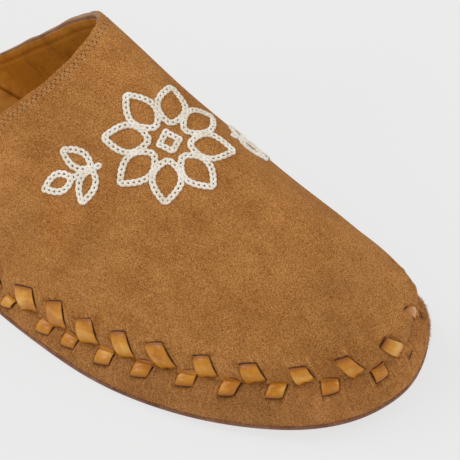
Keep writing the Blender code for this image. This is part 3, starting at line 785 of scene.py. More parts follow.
def planned_strip(k, upper):
    """A strip that follows the rhythm, a little astray, and fits the room on a low rand."""
    astray = np.array([math.sin(5.1 * k + 1.3 * j + (0 if upper else 2)) for j in range(8)])
    corners = np.array(UPPER_PLAN if upper else LOWER_PLAN) * PITCH + astray.reshape(4, 2) * WANDER
    corners[:, 0] += chevron_foot(k)
    room = float(np.interp(corners[:, 0].mean(), SEAM_ARC, RAND_ROOM))
    low = corners[:, 1] < 0
    corners[low, 1] *= min(1.0, ROOM_USED * room / (PLAN_DEPTH * PITCH))
    return corners


STRIPS = {}
for k in range(-HALF, CHEVRONS - HALF):
    for upper, by_hand in ((True, UPPER_STRIPS), (False, LOWER_STRIPS)):
        STRIPS[k, upper] = (placed_strip if k in by_hand else planned_strip)(k, upper)
SLITS_UP = np.array([c[:2].mean(axis=0) for (k, upper), c in STRIPS.items() if upper])
SLITS_DOWN = np.array([c[2:].mean(axis=0) for (k, upper), c in STRIPS.items() if not upper])
print(len(STRIPS), "strips,", len(SLITS_UP), "slits in the vamp")

# %% [markdown]
# ## Soft troughs and puffs
# Lacing pulls suede into dents at the slits and lets it puff up in between, and each strip presses
# its own bed into the suede, with a soft lip round it. Bump alone would leave the outline smooth, so
# all of these are real shape: soft round bells, placed in the seam's measures, and a slow waver so
# that no two are alike. The vamp also has a fullness and a hollow on the inner side of the toe.

# %% Bells, waver and the strips' outlines
def bell(s, h, places, wide, tall, depth):
    """Bells of this depth at each place, wide along the seam and tall across it."""
    total = np.zeros(np.shape(s))
    for place in places:
        near = np.abs(s - place[0]) < 4 * wide
        part = np.exp(-((s[near] - place[0]) / wide) ** 2 - ((h[near] - place[1]) / tall) ** 2)
        total[near] += part
    return depth * total


def waver(s, h, seed):
    """A slow uneven rise and fall, about -1 to 1."""
    return (np.sin(s / 0.0071 + seed) * np.cos(h / 0.0048 + 2.1 * seed)
            + np.sin(s / 0.0032 - 1.7 * seed + h / 0.0045)) / 2


def beyond(s, h, corners):
    """How far a place lies outside one strip's outline; less than nothing inside it."""
    middle = corners.mean(axis=0)
    total = np.full(np.shape(s), -1.0)
    for a, b in zip(corners, np.roll(corners, -1, axis=0)):
        way = np.array([b[1] - a[1], a[0] - b[0]]) / max(np.hypot(*(b - a)), 1e-9)
        way = way if way @ (a - middle) > 0 else -way
        total = np.maximum(total, (s - a[0]) * way[0] + (h - a[1]) * way[1])
    return total


print("bells and waver ready")

# %% Relief by the seam
LIP_HIGH, LIP_AT, LIP_WIDE, LIP_REACH = 0.00055, 0.0010, 0.00065, 0.010
BED_DEEP, BED_WIDE = 0.00050, 0.0012
PULL_FADE, PULL_REACH = 0.0018, 0.012
# The far toe's upper strip lies flat in the suede, so its lip is low.
LOW_LIPS = {(2, True): 0.3}


def lips(s, h, upper):
    """The suede sinks under each strip and rises in a soft lip round it."""
    total = np.zeros(np.shape(s))
    for (k, is_upper), corners in STRIPS.items():
        if is_upper == upper:
            near = np.abs(s - corners[:, 0].mean()) < LIP_REACH
            gap = beyond(s[near], h[near], corners)
            uneven = 1.0 + 0.35 * math.sin(3.1 * k)
            lip = LIP_HIGH * uneven * np.exp(-((gap - LIP_AT) / LIP_WIDE) ** 2)
            share = LOW_LIPS.get((k, upper), 1.0)
            total[near] += share * (lip - BED_DEEP * ease(0.5 - gap / BED_WIDE))
    return total


def pull_of(s, h, upper):
    """How much the suede is gathered: full beside each strip, nothing a few millimetres away."""
    total = np.zeros(np.shape(s))
    for (k, is_upper), corners in STRIPS.items():
        if is_upper == upper:
            near = np.abs(s - corners[:, 0].mean()) < PULL_REACH
            gap = beyond(s[near], h[near], corners)
            total[near] = np.maximum(total[near], np.exp(-np.maximum(gap, 0.0) / PULL_FADE))
    return total


print("the most a strip gathers the suede:", pull_of(np.array([0.0]), np.array([0.004]), True))

# %% The relief of the vamp and of the rand
BETWEEN_UP = (SLITS_UP[:-1] + SLITS_UP[1:]) / 2 + np.array([0.0022, -0.0036])
BETWEEN_DOWN = (SLITS_DOWN[:-1] + SLITS_DOWN[1:]) / 2 + np.array([-0.0004, 0.0008])
FULLNESS, FULL_FROM, HOLLOW = (0.022, 0.009), 0.006, (0.043, 0.015)
EDGE_DIP, EDGE_DIP_WIDE = 0.00040, 0.0011
UNEVEN_VAMP, UNEVEN_UP_TO, UNEVEN_RAND = 0.00018, 0.020, 0.00022


def vamp_relief(s, h):
    full = bell(s, h, [FULLNESS], wide=0.0085, tall=0.008, depth=0.0020) * ease(h / FULL_FROM)
    hollow = bell(s, h, [HOLLOW], wide=0.008, tall=0.008, depth=-0.0006)
    dents = bell(s, h, SLITS_UP + np.array([0.0, 0.0036]), wide=0.0040, tall=0.0030, depth=-0.00026)
    puffs = bell(s, h, BETWEEN_UP, wide=0.0032, tall=0.0038, depth=0.00050)
    edge = -EDGE_DIP * np.exp(-(h / EDGE_DIP_WIDE) ** 2)
    uneven = UNEVEN_VAMP * (1.0 - ease(h / UNEVEN_UP_TO)) * waver(s, h, 0.7)
    return full + hollow + dents + puffs + edge + lips(s, h, True) + uneven


def rand_relief(s, h):
    dents = bell(s, h, SLITS_DOWN + np.array([0.0, -0.0020]), wide=0.0034, tall=0.0024, depth=-0.00030)
    puffs = bell(s, h, BETWEEN_DOWN, wide=0.0034, tall=0.0030, depth=0.00050)
    return dents + puffs + lips(s, h, False) + UNEVEN_RAND * waver(s, h, 2.3)


print("relief ready:", len(BETWEEN_UP), "puffs on the vamp,", len(BETWEEN_DOWN), "on the rand")

# %% [markdown]
# ## The vamp
# The vamp is one piece of suede, cut to the collar's curve and pulled over the toe. A sculpted or
# subdivided cage would drift from the CAD part; a fine grid over the same sections keeps to it. The
# columns stand closer at the collar, the rows closer at the seam, where the relief is. The grid is
# doubled inwards, so that the suede has a real cut edge.

# %% The net of the vamp
SIDE_COLUMNS, TOE_COLUMNS, VAMP_ROWS = 190, 150, 66
SUEDE_THICKNESS = 0.0016
CALM_PASSES, CALM_FROM, CALM_RUN = 160, 0.06, 0.25
RECESS_BELOW = 0.35


def spread(count, first):
    """Shares from 0 to 1 in steps that grow evenly from first."""
    r = np.arange(count + 1) / count
    return first * count * r + (1.0 - first * count) * r ** 2


def vamp_net(side_columns, toe_columns, rows, near_seam, recess=0.0):
    """Points over the last, from the seam up. A recess sets the collar's edge back, less low down."""
    phi = spread(rows, near_seam)
    along = spread(side_columns, 0.0034)
    net = []
    for p in phi:
        halves = []
        for table, inner in ((COLLAR_OUTER, False), (COLLAR_INNER, True)):
            t = np.array(table)
            start = (np.interp(p, t[:, 0], t[:, 1]) - 0.5) * LENGTH
            start += recess * (RECESS_BELOW + (1.0 - RECESS_BELOW) * p)
            halves.append(side_point(start + (CROWN_X - start) * along, p, inner))
        turn = np.linspace(TOE_ANGLE[0], TOE_ANGLE[-1], toe_columns + 1)[1:-1]
        net.append(np.concatenate([halves[0], toe_point(turn, p), halves[1][::-1]]))
    net = np.array(net)
    soft = ease((phi - CALM_FROM) / CALM_RUN)[:, None, None]
    calm = net.copy()
    for _ in range(CALM_PASSES):
        calm[:, 1:-1] += 0.5 * ((calm[:, :-2] + calm[:, 2:]) / 2 - calm[:, 1:-1])
        calm[:, :side_columns // 2] = net[:, :side_columns // 2]
        calm[:, -(side_columns // 2):] = net[:, -(side_columns // 2):]
    return net * (1 - soft) + calm * soft


NET = vamp_net(SIDE_COLUMNS, TOE_COLUMNS, VAMP_ROWS, 0.0046)
COLUMNS = NET.shape[1]
print("vamp net: rows, columns", NET.shape[:2])

# %% Measures and directions on a net
def seam_measures(net, side_columns):
    """For each point of the net, its place along the seam and across it."""
    foot = net[0]
    run = by_chord(foot)
    run -= run[foot[:, 0].argmax()]
    s = np.broadcast_to(run, net.shape[:2]).copy()
    near, far = slice(0, side_columns + 1), slice(-(side_columns + 1), None)
    s[:, near] = np.interp(net[:, near, 0], foot[near, 0], run[near])
    s[:, far] = np.interp(net[:, far, 0], foot[far, 0][::-1], run[far][::-1])
    below = np.stack([np.interp(s, run, foot[:, c]) for c in range(3)], axis=-1)
    return s, np.linalg.norm(net - below, axis=-1)


def other_side(row):
    """The same row, read from the other side. The two sides meet in the net's last row."""
    return row[::-1]


def net_normals(net, side_columns):
    """Outward directions, the same for both sides where they meet."""
    across = np.gradient(net, axis=0)
    along = np.gradient(net, axis=1)
    normal = unit(np.cross(along, across))
    normal[-1] = unit(normal[-2] + other_side(normal[-2]))
    toe = slice(side_columns, net.shape[1] - side_columns)
    normal[-1, toe] = unit(normal[-2, toe].mean(axis=0))
    return normal


NET_S, NET_H = seam_measures(NET, SIDE_COLUMNS)
NET_N = net_normals(NET, SIDE_COLUMNS)
print("the seam under the vamp runs in mm from, to", in_mm(NET_S[0, [0, -1]]))

# %% The vamp's outside
ROLLED_DEEP, ROLLED_WIDE = 0.00025, 0.0007
STITCH_ROWS, CHANNEL_DEEP, CHANNEL_WIDE = (0.0019, 0.0030), 0.00014, 0.0005
HEM_HIGH, HEM_OUT, HEM_DOWN, HEM_RAGGED = 0.0016, 0.00060, 0.00055, 0.35


def collar_distance(net):
    """How far each point lies from the collar's edge, along its row."""
    gap = np.linalg.norm(np.diff(net, axis=1), axis=2)
    run = np.concatenate([np.zeros((len(net), 1)), np.cumsum(gap, axis=1)], axis=1)
    return np.minimum(run, run[:, -1:] - run)


def body_relief(net):
    """Slow hollows and swells that keep the big faces from looking turned on a lathe, and a little
    more height at the instep."""
    x, y, z = (net[..., c] / MM for c in range(3))
    slow = np.sin(x / 17.0 + y / 23.0) * np.cos(z / 13.0 - x / 31.0)
    quick = np.sin(x / 8.3 - y / 6.1 + 1.0) * np.sin(z / 7.0 + y / 9.0)
    instep = ease((50.0 - x) / 30.0) * ease((z - 40.0) / 20.0)
    return 0.00022 * slow + 0.00007 * quick + 0.00045 * instep


def ridge_of(distance, place, wide):
    """1 at this distance from the collar, fading to 0 on both sides."""
    return np.exp(-((distance - place) / wide) ** 2)


def vamp_lift(net, s, h):
    """How far the suede stands off the net. The collar's edge is rolled in, and each row of
    stitches lies in a shallow channel."""
    distance = collar_distance(net)
    lift = vamp_relief(s, h) + body_relief(net) * ease(h / 0.01)
    lift -= ROLLED_DEEP * ridge_of(distance, 0.0, ROLLED_WIDE)
    lift -= CHANNEL_DEEP * sum(ridge_of(distance, row, CHANNEL_WIDE) for row in STITCH_ROWS)
    lift[-1] = (lift[-1] + other_side(lift[-1])) / 2
    toe = slice(SIDE_COLUMNS, COLUMNS - SIDE_COLUMNS)
    lift[-1, toe] = lift[-1, toe].mean()
    return lift


def vamp_hem(s, h):
    """The raw edge at the seam hangs out and down a little, unevenly."""
    hem = np.maximum(0.0, 1.0 - h / HEM_HIGH)[..., None] ** 2
    ragged = 1.0 + HEM_RAGGED * waver(s * 2.6, h, 4.0)[..., None]
    outward = unit(NET_N * np.array([1.0, 1.0, 0.0]))
    return hem * ragged * (HEM_OUT * outward - np.array([0.0, 0.0, HEM_DOWN]))


SKIN = NET + NET_N * vamp_lift(NET, NET_S, NET_H)[..., None] + vamp_hem(NET_S, NET_H)
print("highest point of the vamp in mm", in_mm([SKIN[..., 2].max()]))

# %% A shell from two nets
def closed_shell(outer, inner, side_columns):
    """Points and faces of a shell. The last row is shared by both sides, and by all ribs of the
    toe's fan. The faces of the outside come first, then the inside, then the rim."""
    rows, columns = outer.shape[:2]
    base = (rows - 1) * columns
    last = np.arange(columns)
    last = base + np.minimum(np.minimum(last, columns - 1 - last), side_columns)
    label = np.concatenate([np.arange(base).reshape(rows - 1, columns), last[None]], axis=0)
    count = base + int(last.max() - base) + 1
    corners = [label[:-1, :-1], label[:-1, 1:], label[1:, 1:], label[1:, :-1]]
    skin = [list(dict.fromkeys(q)) for q in np.stack(corners, -1).reshape(-1, 4).tolist()]
    skin = [q for q in skin if len(q) > 2]
    points = np.concatenate([outer.reshape(-1, 3)[:count], inner.reshape(-1, 3)[:count]])
    inside = [[v + count for v in q[::-1]] for q in skin]
    rim = list(label[0]) + list(label[1:, -1]) + list(label[1:-1, 0][::-1])
    edge = [[b, a, a + count, b + count] for a, b in zip(rim, rim[1:] + rim[:1]) if a != b]
    return points, skin + inside + edge, len(skin)


print("shells ready")

# %% Where the suede is painted lighter or darker
# Patches where the suede is painted lighter or darker, partly as brushed nap and partly as painted
# light and shade: x, y, z and radius in millimetres, and the share by which the suede is lighter there.
NAP_AND_PAINTED_LIGHT_VAMP = (
    (7, 12, 67, 14, 0.13), (99, 8, 37, 10, -0.12), (104, -6, 30, 8, -0.07), (21, -31, 35, 7, 0.12),
    (33, -30, 34, 6, -0.15), (8, -34, 32, 7, -0.13), (110, 20, 28, 7, 0.09), (115, 9, 25, 6, 0.08),
    (73, 12, 45, 9, 0.05), (5, -26, 45, 9, 0.05), (94, -7, 35, 8, -0.05),
)
# The same along the rand: place along the seam and reach in millimetres, and the share.
NAP_AND_PAINTED_LIGHT_RAND = ((4, 16, 0.34), (-22, 9, 0.18), (-42, 7, -0.12), (-60, 9, 0.03))
# Pleats on the vamp lean this way: shares of the way along the seam and across it.
PLEAT_TURN = (0.84, 0.54)


def nap_and_painted_light_vamp(points):
    """How much lighter each point of the vamp is painted, for brushed nap and for light and shade."""
    total = np.zeros(points.shape[:-1])
    for x, y, z, radius, share in NAP_AND_PAINTED_LIGHT_VAMP:
        far = np.linalg.norm(points - np.array([x, y, z]) * MM, axis=-1)
        total += share * np.exp(-(far / (radius * MM)) ** 2)
    return total


def nap_and_painted_light_rand(s):
    """The same at each place along the rand."""
    return sum(share * np.exp(-((s / MM - place) / reach) ** 2) for place, reach, share in NAP_AND_PAINTED_LIGHT_RAND)


print(len(NAP_AND_PAINTED_LIGHT_VAMP), "patches of nap and painted light on the vamp")

# %% The vamp as one piece
points, faces, skin_count = closed_shell(SKIN, NET - NET_N * SUEDE_THICKNESS, SIDE_COLUMNS)
picks = np.zeros(len(faces), int)
picks[skin_count:] = 1
picks[:COLUMNS - 1] = 2
vamp = add_piece("vamp", points, faces, [SUEDE, CUT_EDGE, RAW_EDGE], ["upper"], picks)
mark(vamp, "nap_and_painted_light", nap_and_painted_light_vamp(points))
lean, rise = PLEAT_TURN
for name, values in (("pull", pull_of(NET_S, NET_H, True)),
                     ("pleat_across", lean * NET_S + rise * NET_H),
                     ("pleat_along", rise * NET_S - lean * NET_H)):
    mark(vamp, name, values.ravel()[:len(points) // 2])

# %% [markdown]
# ## The lining
# Behind the suede lies a smooth leather lining. Its edge is set back from the collar, so that the
# suede's cut edge shows, and it goes down inside to the footbed. It needs no relief, so its net is
# coarser. It stays a little inside the vamp, so that the two never share a face.

# %% The lining behind the vamp
LINING_SIDE, LINING_TOE, LINING_ROWS, LINING_RECESS = 90, 60, 40, 0.0020
LINING_THICKNESS, LINING_CLEAR, BED_CLEAR = 0.00065, 0.00006, 0.00015
THINNED, THINNED_WIDE, FOLD, FOLD_AT, FOLD_WIDE = 0.00030, 0.0012, 0.00020, 0.0036, 0.0007
SKIRT_HIGH, SKIRT_IN = 0.0045, 0.0016

lining_net = vamp_net(LINING_SIDE, LINING_TOE, LINING_ROWS, 0.010, LINING_RECESS)
lining_normal = net_normals(lining_net, LINING_SIDE)
distance = collar_distance(lining_net)
thickness = (LINING_THICKNESS - THINNED * ridge_of(distance, 0.0, THINNED_WIDE)
             - FOLD * ridge_of(distance, FOLD_AT, FOLD_WIDE))
above_seam = seam_measures(lining_net, LINING_SIDE)[1]
skirt = (np.maximum(0.0, 1.0 - above_seam / SKIRT_HIGH) ** 2)[..., None]
outward = unit(lining_normal * np.array([1.0, 1.0, 0.0]))
seam_row = lining_net[:1]
drop = (seam_row[..., 2] - ground(seam_row[..., 0]) - OUTSOLE - GAP - INSOLE - BED_CLEAR)[..., None]
lowered = skirt * (-SKIRT_IN * outward - drop * np.array([0.0, 0.0, 1.0]))
back = lining_net - lining_normal * (SUEDE_THICKNESS + LINING_CLEAR) + lowered
face = lining_net - lining_normal * (SUEDE_THICKNESS + thickness)[..., None] + lowered
points, faces, _ = closed_shell(back, face, LINING_SIDE)
add_piece("lining", points, faces, [LINING_LEATHER], ["upper"])

# %% [markdown]
# ## The rand
# The rand is the strip of suede that rises from the sole and meets the vamp at the seam. Its section
# bulges over the sole's edge, and its foot spreads as the table of the last says. Columns go all the
# way round, and the relief pushes its outside in and out between the slits.

# %% The rand round the sole
RAND_COLUMNS, RAND_FINE, RAND_COARSE = 1080, 24, 3
SOLE_SEEN, RAND_CLEAR = 0.0013, 0.0001
FOOT_HELD = 0.0012

steps = np.arange(RAND_COLUMNS) / RAND_COLUMNS * RING
insets, heights = ring_value(SEAM_IN, steps), ring_value(SEAM_UP, steps)
sections = [rand_section(inset, height, RAND_FINE, SOLE_SEEN + RAND_CLEAR)
            for inset, height in zip(insets, heights)]
outside = np.array([section_out for section_out, _ in sections])
inside = np.array([section_in[::RAND_COARSE][::-1] for _, section_in in sections])
climb = np.array([by_chord(rows) for rows in outside])
rand_h = climb - climb[:, -1:]
rand_s = np.interp(steps, np.arange(RING), SEAM_ARC)
rand_s_all = np.broadcast_to(rand_s[:, None], rand_h.shape)
step = np.gradient(outside, axis=1)
away = unit(np.stack([-step[..., 1], step[..., 0]], axis=-1))
push = rand_relief(rand_s_all, rand_h) * ease((rand_h - rand_h[:, :1]) / FOOT_HELD)
loop = np.concatenate([outside + away * push[..., None], inside], axis=1)
LOOP_ROWS = loop.shape[1]
points = ring_point(np.broadcast_to(steps[:, None], loop.shape[:2]), loop[..., 0], loop[..., 1])
RAND_GRID = points[:, :RAND_FINE]
print("rand section has", LOOP_ROWS, "points")

# %% The rand as one piece
# The rand's top row of faces, under the vamp's hem, gets painted shade for the dark line there.
row_of_face = np.arange(RAND_COLUMNS * LOOP_ROWS) % LOOP_ROWS
rand = add_piece("rand_band", points.reshape(-1, 3),
                 grid_faces(RAND_COLUMNS, LOOP_ROWS, True, True)[:, ::-1],
                 [RAND_SUEDE, PAINTED_SHADE], ["rand"], row_of_face == RAND_FINE - 2)
for name, values in (("pull", pull_of(rand_s_all, rand_h, False)), ("pleat_across", rand_s_all),
                     ("pleat_along", rand_h)):
    all_round = np.zeros(loop.shape[:2])
    all_round[:, :RAND_FINE] = values
    mark(rand, name, all_round.ravel())
mark(rand, "nap_and_painted_light", np.repeat(nap_and_painted_light_rand(rand_s), LOOP_ROWS))

# %% [markdown]
# ## Sole and footbed
# Both are flat sheets that follow the last: the sole's burnished edge shows as a dark line under the
# rand, and the footbed shows behind the open heel. Rings that shrink towards the middle make a sheet
# with a rounded edge and few thin faces.

# %% Two sheets that follow the last
ROUND_EDGE, EDGE_TURNS = 0.00055, 5
SHRINK = (0.12, 0.28, 0.48, 0.72, 1.0)
SPINE_LENGTH = 0.80


def spine():
    """The middle line of the sole."""
    x = np.linspace(-0.45, 0.45, 40) * LENGTH
    tip = int(EDGE[:, 0].argmax())
    outer, inner = by_x(EDGE[:tip + 1]), by_x(EDGE[tip:])
    return x, (np.interp(x, outer[:, 0], outer[:, 1]) + np.interp(x, inner[:, 0], inner[:, 1])) / 2


def shrunk(row, share, height):
    """A ring drawn in towards the spine by this share, at this height above the ground."""
    middle_x = EDGE[:, 0] * SPINE_LENGTH
    middle = np.column_stack([middle_x, np.interp(middle_x, *spine())])
    ring = row.copy()
    ring[:, :2] = ring[:, :2] * (1 - share) + middle * share
    ring[:, 2] = ground(ring[:, 0]) + height
    return ring


def sheet(name, inset, low, high, finishes, slot, stands_for, dish=0.0):
    """A sheet with a rounded edge. The first finish is its top and edge, the second its underside."""
    turn = np.linspace(0.0, math.pi / 2, EDGE_TURNS)
    profile = [(inset + ROUND_EDGE * (1 - math.sin(a)), low + ROUND_EDGE * (1 - math.cos(a)))
               for a in turn]
    profile += [(inset + ROUND_EDGE * (1 - math.cos(a)), high - ROUND_EDGE * (1 - math.sin(a)))
                for a in turn]
    sides = [ring_point(np.arange(RING), np.full(RING, across), up) for across, up in profile]
    under = [shrunk(sides[0], share, low) for share in SHRINK[::-1]]
    top = [shrunk(sides[-1], share, high - dish * ease(share * 1.6)) for share in SHRINK]
    rings = under + sides + top
    faces = grid_faces(len(rings), RING, False, True)
    picks = np.arange(len(faces)) // RING < len(under) if len(finishes) > 1 else None
    return add_piece(name, np.array(rings).reshape(-1, 3), faces, finishes, stands_for, picks)


sheet("sole", 0.0002, 0.0, SOLE_SEEN, [SOLE_LEATHER, UNDERSIDE_LEATHER], "sole_leather", ["outsole"])
sheet("footbed", INSOLE_INSET - 0.0004, SOLE_SEEN + RAND_CLEAR, OUTSOLE + GAP + INSOLE, [BED_LEATHER],
      "bed_leather", ["insole"], dish=0.0006)

# %% [markdown]
# ## The laced thong
# A strip is a flat strap with rounded edges that rises out of one slit and dives into the next. Four
# corners place it in the seam's measures, a table of points across gives its rounded section, and a
# curve of lift along it makes it stand off the suede and sink at both ends. An upper strip is also
# pulled taut over the seam's step, so it is mostly a smooth arch between its ends. Curves with a
# bevel could do it too, but they would not keep the four corners.

# %% The strap's section and its measures
# Share across the strap, share of its thickness: over the top from one edge to the other, then back.
SECTION = ((0.0, 0.30), (0.015, 0.52), (0.07, 0.72), (0.20, 0.88), (0.38, 0.98), (0.62, 0.98),
           (0.80, 0.88), (0.93, 0.72), (0.985, 0.52), (1.0, 0.30), (0.94, 0.05), (0.5, 0.0),
           (0.06, 0.05))
AROUND = len(SECTION)
# Faces of the sides and underside: the cut edge's colour, partly painted shade of the gap beside it.
EDGE_AND_SHADE_FACES = (0, 8, 9, 10, 11, 12)
STRIP_LONG, STRIP_THICK, STRIP_FULL = 17, 0.00105, 1.07
SLIT_ROUNDING, ROUNDED_SHARE = 0.14, 0.12
UPPER_TUCKS, LOWER_TUCKS = (0.00075, 0.00015), (0.00010, 0.00080)
UPPER_RISE, LOWER_RISE, TILT = 0.00040, 0.00030, 0.00018
ARCH, TAUT_SHARE = 0.0011, 0.88
# How deep the strips at the far side of the toe are sunk, where the suede covers them.
SUNK = {(1, True): 0.00025, (2, True): 0.0009, (0, False): 0.0017, (1, False): 0.0014}
ALONG = 0.5 - 0.5 * np.cos(np.linspace(0.0, math.pi, STRIP_LONG))
# 0 at a strip's ends, where shade is painted, rising to 1 at its crest, where a highlight is painted.
END_SHADE_TO_CREST_LIGHT = np.sin(math.pi * ALONG) ** 0.8
print("a strip has", STRIP_LONG * AROUND, "points")

# %% One strip
def pulled_taut(laid, place):
    """An upper strip, drawn as an arch between its two ends."""
    along = ALONG[:, None, None]
    taut = laid[:1] * (1 - along) + laid[-1:] * along
    middle = STRIP_LONG // 2
    centre = place[middle, AROUND // 2]
    out = unit(off_seam(*centre, np.array(0.002)) - by_seam(*centre))
    arch = laid[middle] - taut[middle]
    arch = arch + out * np.maximum(0.0, ARCH - arch @ out)[:, None]
    bridge = taut + arch * np.sin(math.pi * along) ** 0.6
    return laid * (1.0 - TAUT_SHARE) + bridge * TAUT_SHARE


def strip(k, upper):
    """Points of one strip: rows along it, each once round its section."""
    a, b, c, d = STRIPS[k, upper]
    along = ALONG[:, None]
    across, height = np.array(SECTION).T[:, None, :]
    from_slit = along if upper else 1.0 - along
    rounding = 1.0 - SLIT_ROUNDING * np.clip(1.0 - from_slit / ROUNDED_SHARE, 0.0, 1.0) ** 2
    wide = 0.5 + (across - 0.5) * STRIP_FULL * rounding
    start = a + (b - a) * wide[..., None]
    end = d + (c - d) * wide[..., None]
    place = start * (1 - along[..., None]) + end * along[..., None]
    rise = np.sin(math.pi * along) ** 0.42
    first_tuck, last_tuck = UPPER_TUCKS if upper else LOWER_TUCKS
    tuck = first_tuck + (last_tuck - first_tuck) * along
    base = (tuck + (UPPER_RISE if upper else LOWER_RISE)) * rise - tuck - SUNK.get((k, upper), 0.0)
    tilt = TILT * math.sin(2.3 * k) * (across - 0.5) * rise
    lift = base + tilt + STRIP_THICK * height * (0.55 + 0.45 * rise)
    laid = off_seam(place[..., 0], place[..., 1], lift)
    return pulled_taut(laid, place) if upper else laid


print("the upper strip 0 has its middle in mm at", in_mm(strip(0, True).mean(axis=(0, 1))))

# %% All strips, two for each chevron
wall = grid_faces(STRIP_LONG, AROUND, False, True)[:, ::-1].tolist()
ends = [list(range(AROUND)), list(range((STRIP_LONG - 1) * AROUND, STRIP_LONG * AROUND))[::-1]]
wall_picks = [int(j in EDGE_AND_SHADE_FACES) for _ in range(STRIP_LONG - 1) for j in range(AROUND)]
for k in range(-HALF, CHEVRONS - HALF):
    chevron = Heap()
    for upper in (True, False):
        chevron.add(strip(k, upper), wall + ends)
    number = k + HALF + 1
    lace = add_piece(f"lace_{number:02d}", chevron.points, chevron.faces,
                     [THONG_LEATHER, THONG_EDGE_AND_SHADE], [f"thong_{number:02d}"],
                     (wall_picks + [1, 1]) * 2)
    mark(lace, "end_shade_to_crest_light", np.tile(np.repeat(END_SHADE_TO_CREST_LIGHT, AROUND), 2))

# %% [markdown]
# ## Slits
# Each strip comes out of a cut in the suede. A cut is only a dark lens with soft lips: the relief has
# made the lips, and a thin lens of painted shade laid in the dent gives the dark of the opening.
# Cutting the net with a boolean would break its even grid for something less than a millimetre wide.

# %% Lenses of painted shade at the strips' ends
SLIT_PAST, SLIT_HALF, SLIT_STEPS, SLIT_BEYOND, SLIT_SINK = 0.05, 0.00026, 11, 0.00005, 0.00002

slits = Heap()
slit_faces = grid_faces(2, SLIT_STEPS).tolist()
for (k, upper), corners in STRIPS.items():
    start, end = (corners[0], corners[1]) if upper else (corners[3], corners[2])
    beside = np.array([0.0, -SLIT_BEYOND if upper else SLIT_BEYOND])
    rim = []
    for side in (1, -1):
        for t in np.linspace(-SLIT_PAST, 1 + SLIT_PAST, SLIT_STEPS):
            across = 2 * (t + SLIT_PAST) / (1 + 2 * SLIT_PAST) - 1
            opening = SLIT_HALF * max(0.0, 1 - across ** 2) ** 0.5
            place = start + (end - start) * t + beside + np.array([0.0, side * opening])
            rim.append(off_seam(place[0], place[1], np.array(-SLIT_SINK)))
    slits.add(rim, slit_faces)
add_piece("lace_slit_shade", slits.points, slits.faces, [PAINTED_SHADE])

# %% [markdown]
# ## Things that lie on the vamp
# Stitches and embroidery follow the surface. A tree of the vamp's faces answers two questions for
# any place: which point of the suede is nearest, and which way does it face. With that, a stitch is
# a short rounded bar, set down along the line.

# %% Finding the suede
TREE = BVHTree.FromPolygons(SKIN.reshape(-1, 3).tolist(), grid_faces(*SKIN.shape[:2]).tolist())
FOOT_BACK, FOOT_ACROSS, FOOT_UP = 0.02, 0.004, 0.01


def set_down(place):
    """The nearest point of the suede and the way it faces, away from the foot inside."""
    spot, normal, _, _ = TREE.find_nearest(Vector(place))
    spot, normal = np.array(spot), np.array(normal)
    foot = np.array([place[0] - FOOT_BACK, FOOT_ACROSS, FOOT_UP])
    return spot, normal if normal @ (spot - foot) > 0 else -normal


print("suede above the toe at", in_mm(set_down((0.08, 0.0, 0.1))[0]))

# %% A small bar with round ends
BAR_RINGS, BAR_TURNS, BAR_BLUNT, BAR_TIP = 6, 8, 2.6, 0.12


def bar(along, side, up, long, wide, thick):
    """Points and faces of a bar with round ends, on its own axes."""
    points, faces = [], grid_faces(BAR_RINGS + 1, BAR_TURNS, False, True).tolist()
    for i in range(BAR_RINGS + 1):
        t = -1.0 + 2.0 * i / BAR_RINGS
        size = max(BAR_TIP, 1 - abs(t) ** BAR_BLUNT) ** 0.5
        for j in range(BAR_TURNS):
            turn = 2 * math.pi * j / BAR_TURNS
            points.append(along * t * long / 2 + side * math.cos(turn) * size * wide / 2
                          + up * math.sin(turn) * size * thick / 2)
    last = BAR_RINGS * BAR_TURNS
    faces += [list(range(BAR_TURNS))[::-1], list(range(last, last + BAR_TURNS))]
    return np.array(points), faces


print("a bar has", len(bar(*np.eye(3), 1.0, 1.0, 1.0)[1]), "faces")

# %% [markdown]
# ## The collar's double row
# Two rows of lockstitch run just inside the collar. They are tone on tone, so what shows is the dark
# holes, small bars of painted shade, and the low rounded stitches between them.

# %% Collar stitches
STITCH_PITCH, STITCH_SIZE = 0.0018, (0.00130, 0.00044, 0.00030)
HOLE_SIZE, HOLE_SINK = (0.00042, 0.00046, 0.00022), 0.00001
ROW_STARTS, LOW_ROWS, INNER_COLUMN, NORMAL_COLUMN = 0.003, 2, 8, 4


def both_sides(grid, column):
    """A line up one side of the vamp and down the other, this many columns from the collar."""
    up, down = grid[LOW_ROWS:, column], grid[LOW_ROWS:, -1 - column]
    return np.concatenate([up, down[::-1][1:]])


def collar_line(distance):
    """Places at this distance from the collar's edge, and how far along each one lies."""
    edge = both_sides(SKIN, 0)
    inward = np.cross(both_sides(NET_N, NORMAL_COLUMN), unit(np.gradient(edge, axis=0)))
    inward *= np.sign((inward * (both_sides(SKIN, INNER_COLUMN) - edge)).sum(axis=1))[:, None]
    line = edge + unit(inward) * distance
    return line, by_chord(line)


stitches, holes = Heap(), Heap()
for row in STITCH_ROWS:
    line, run = collar_line(row)
    for t in np.arange(ROW_STARTS, run[-1] - ROW_STARTS, STITCH_PITCH):
        here, ahead = (np.array([np.interp(v, run, line[:, c]) for c in range(3)])
                       for v in (t, t + STITCH_PITCH / 2))
        spot, normal = set_down(here)
        next_spot, _ = set_down(ahead)
        along = unit(next_spot - spot)
        side = unit(np.cross(normal, along))
        shape, shape_faces = bar(along, side, normal, *STITCH_SIZE)
        stitches.add(shape + spot, shape_faces)
        # Each hole is a small sunk bar of painted shade.
        shape, shape_faces = bar(along, side, normal, *HOLE_SIZE)
        holes.add(shape + next_spot - normal * HOLE_SINK, shape_faces)
add_piece("collar_stitches", stitches.points, stitches.faces, [TAN_THREAD])
add_piece("collar_hole_shade", holes.points, holes.faces, [PAINTED_SHADE])

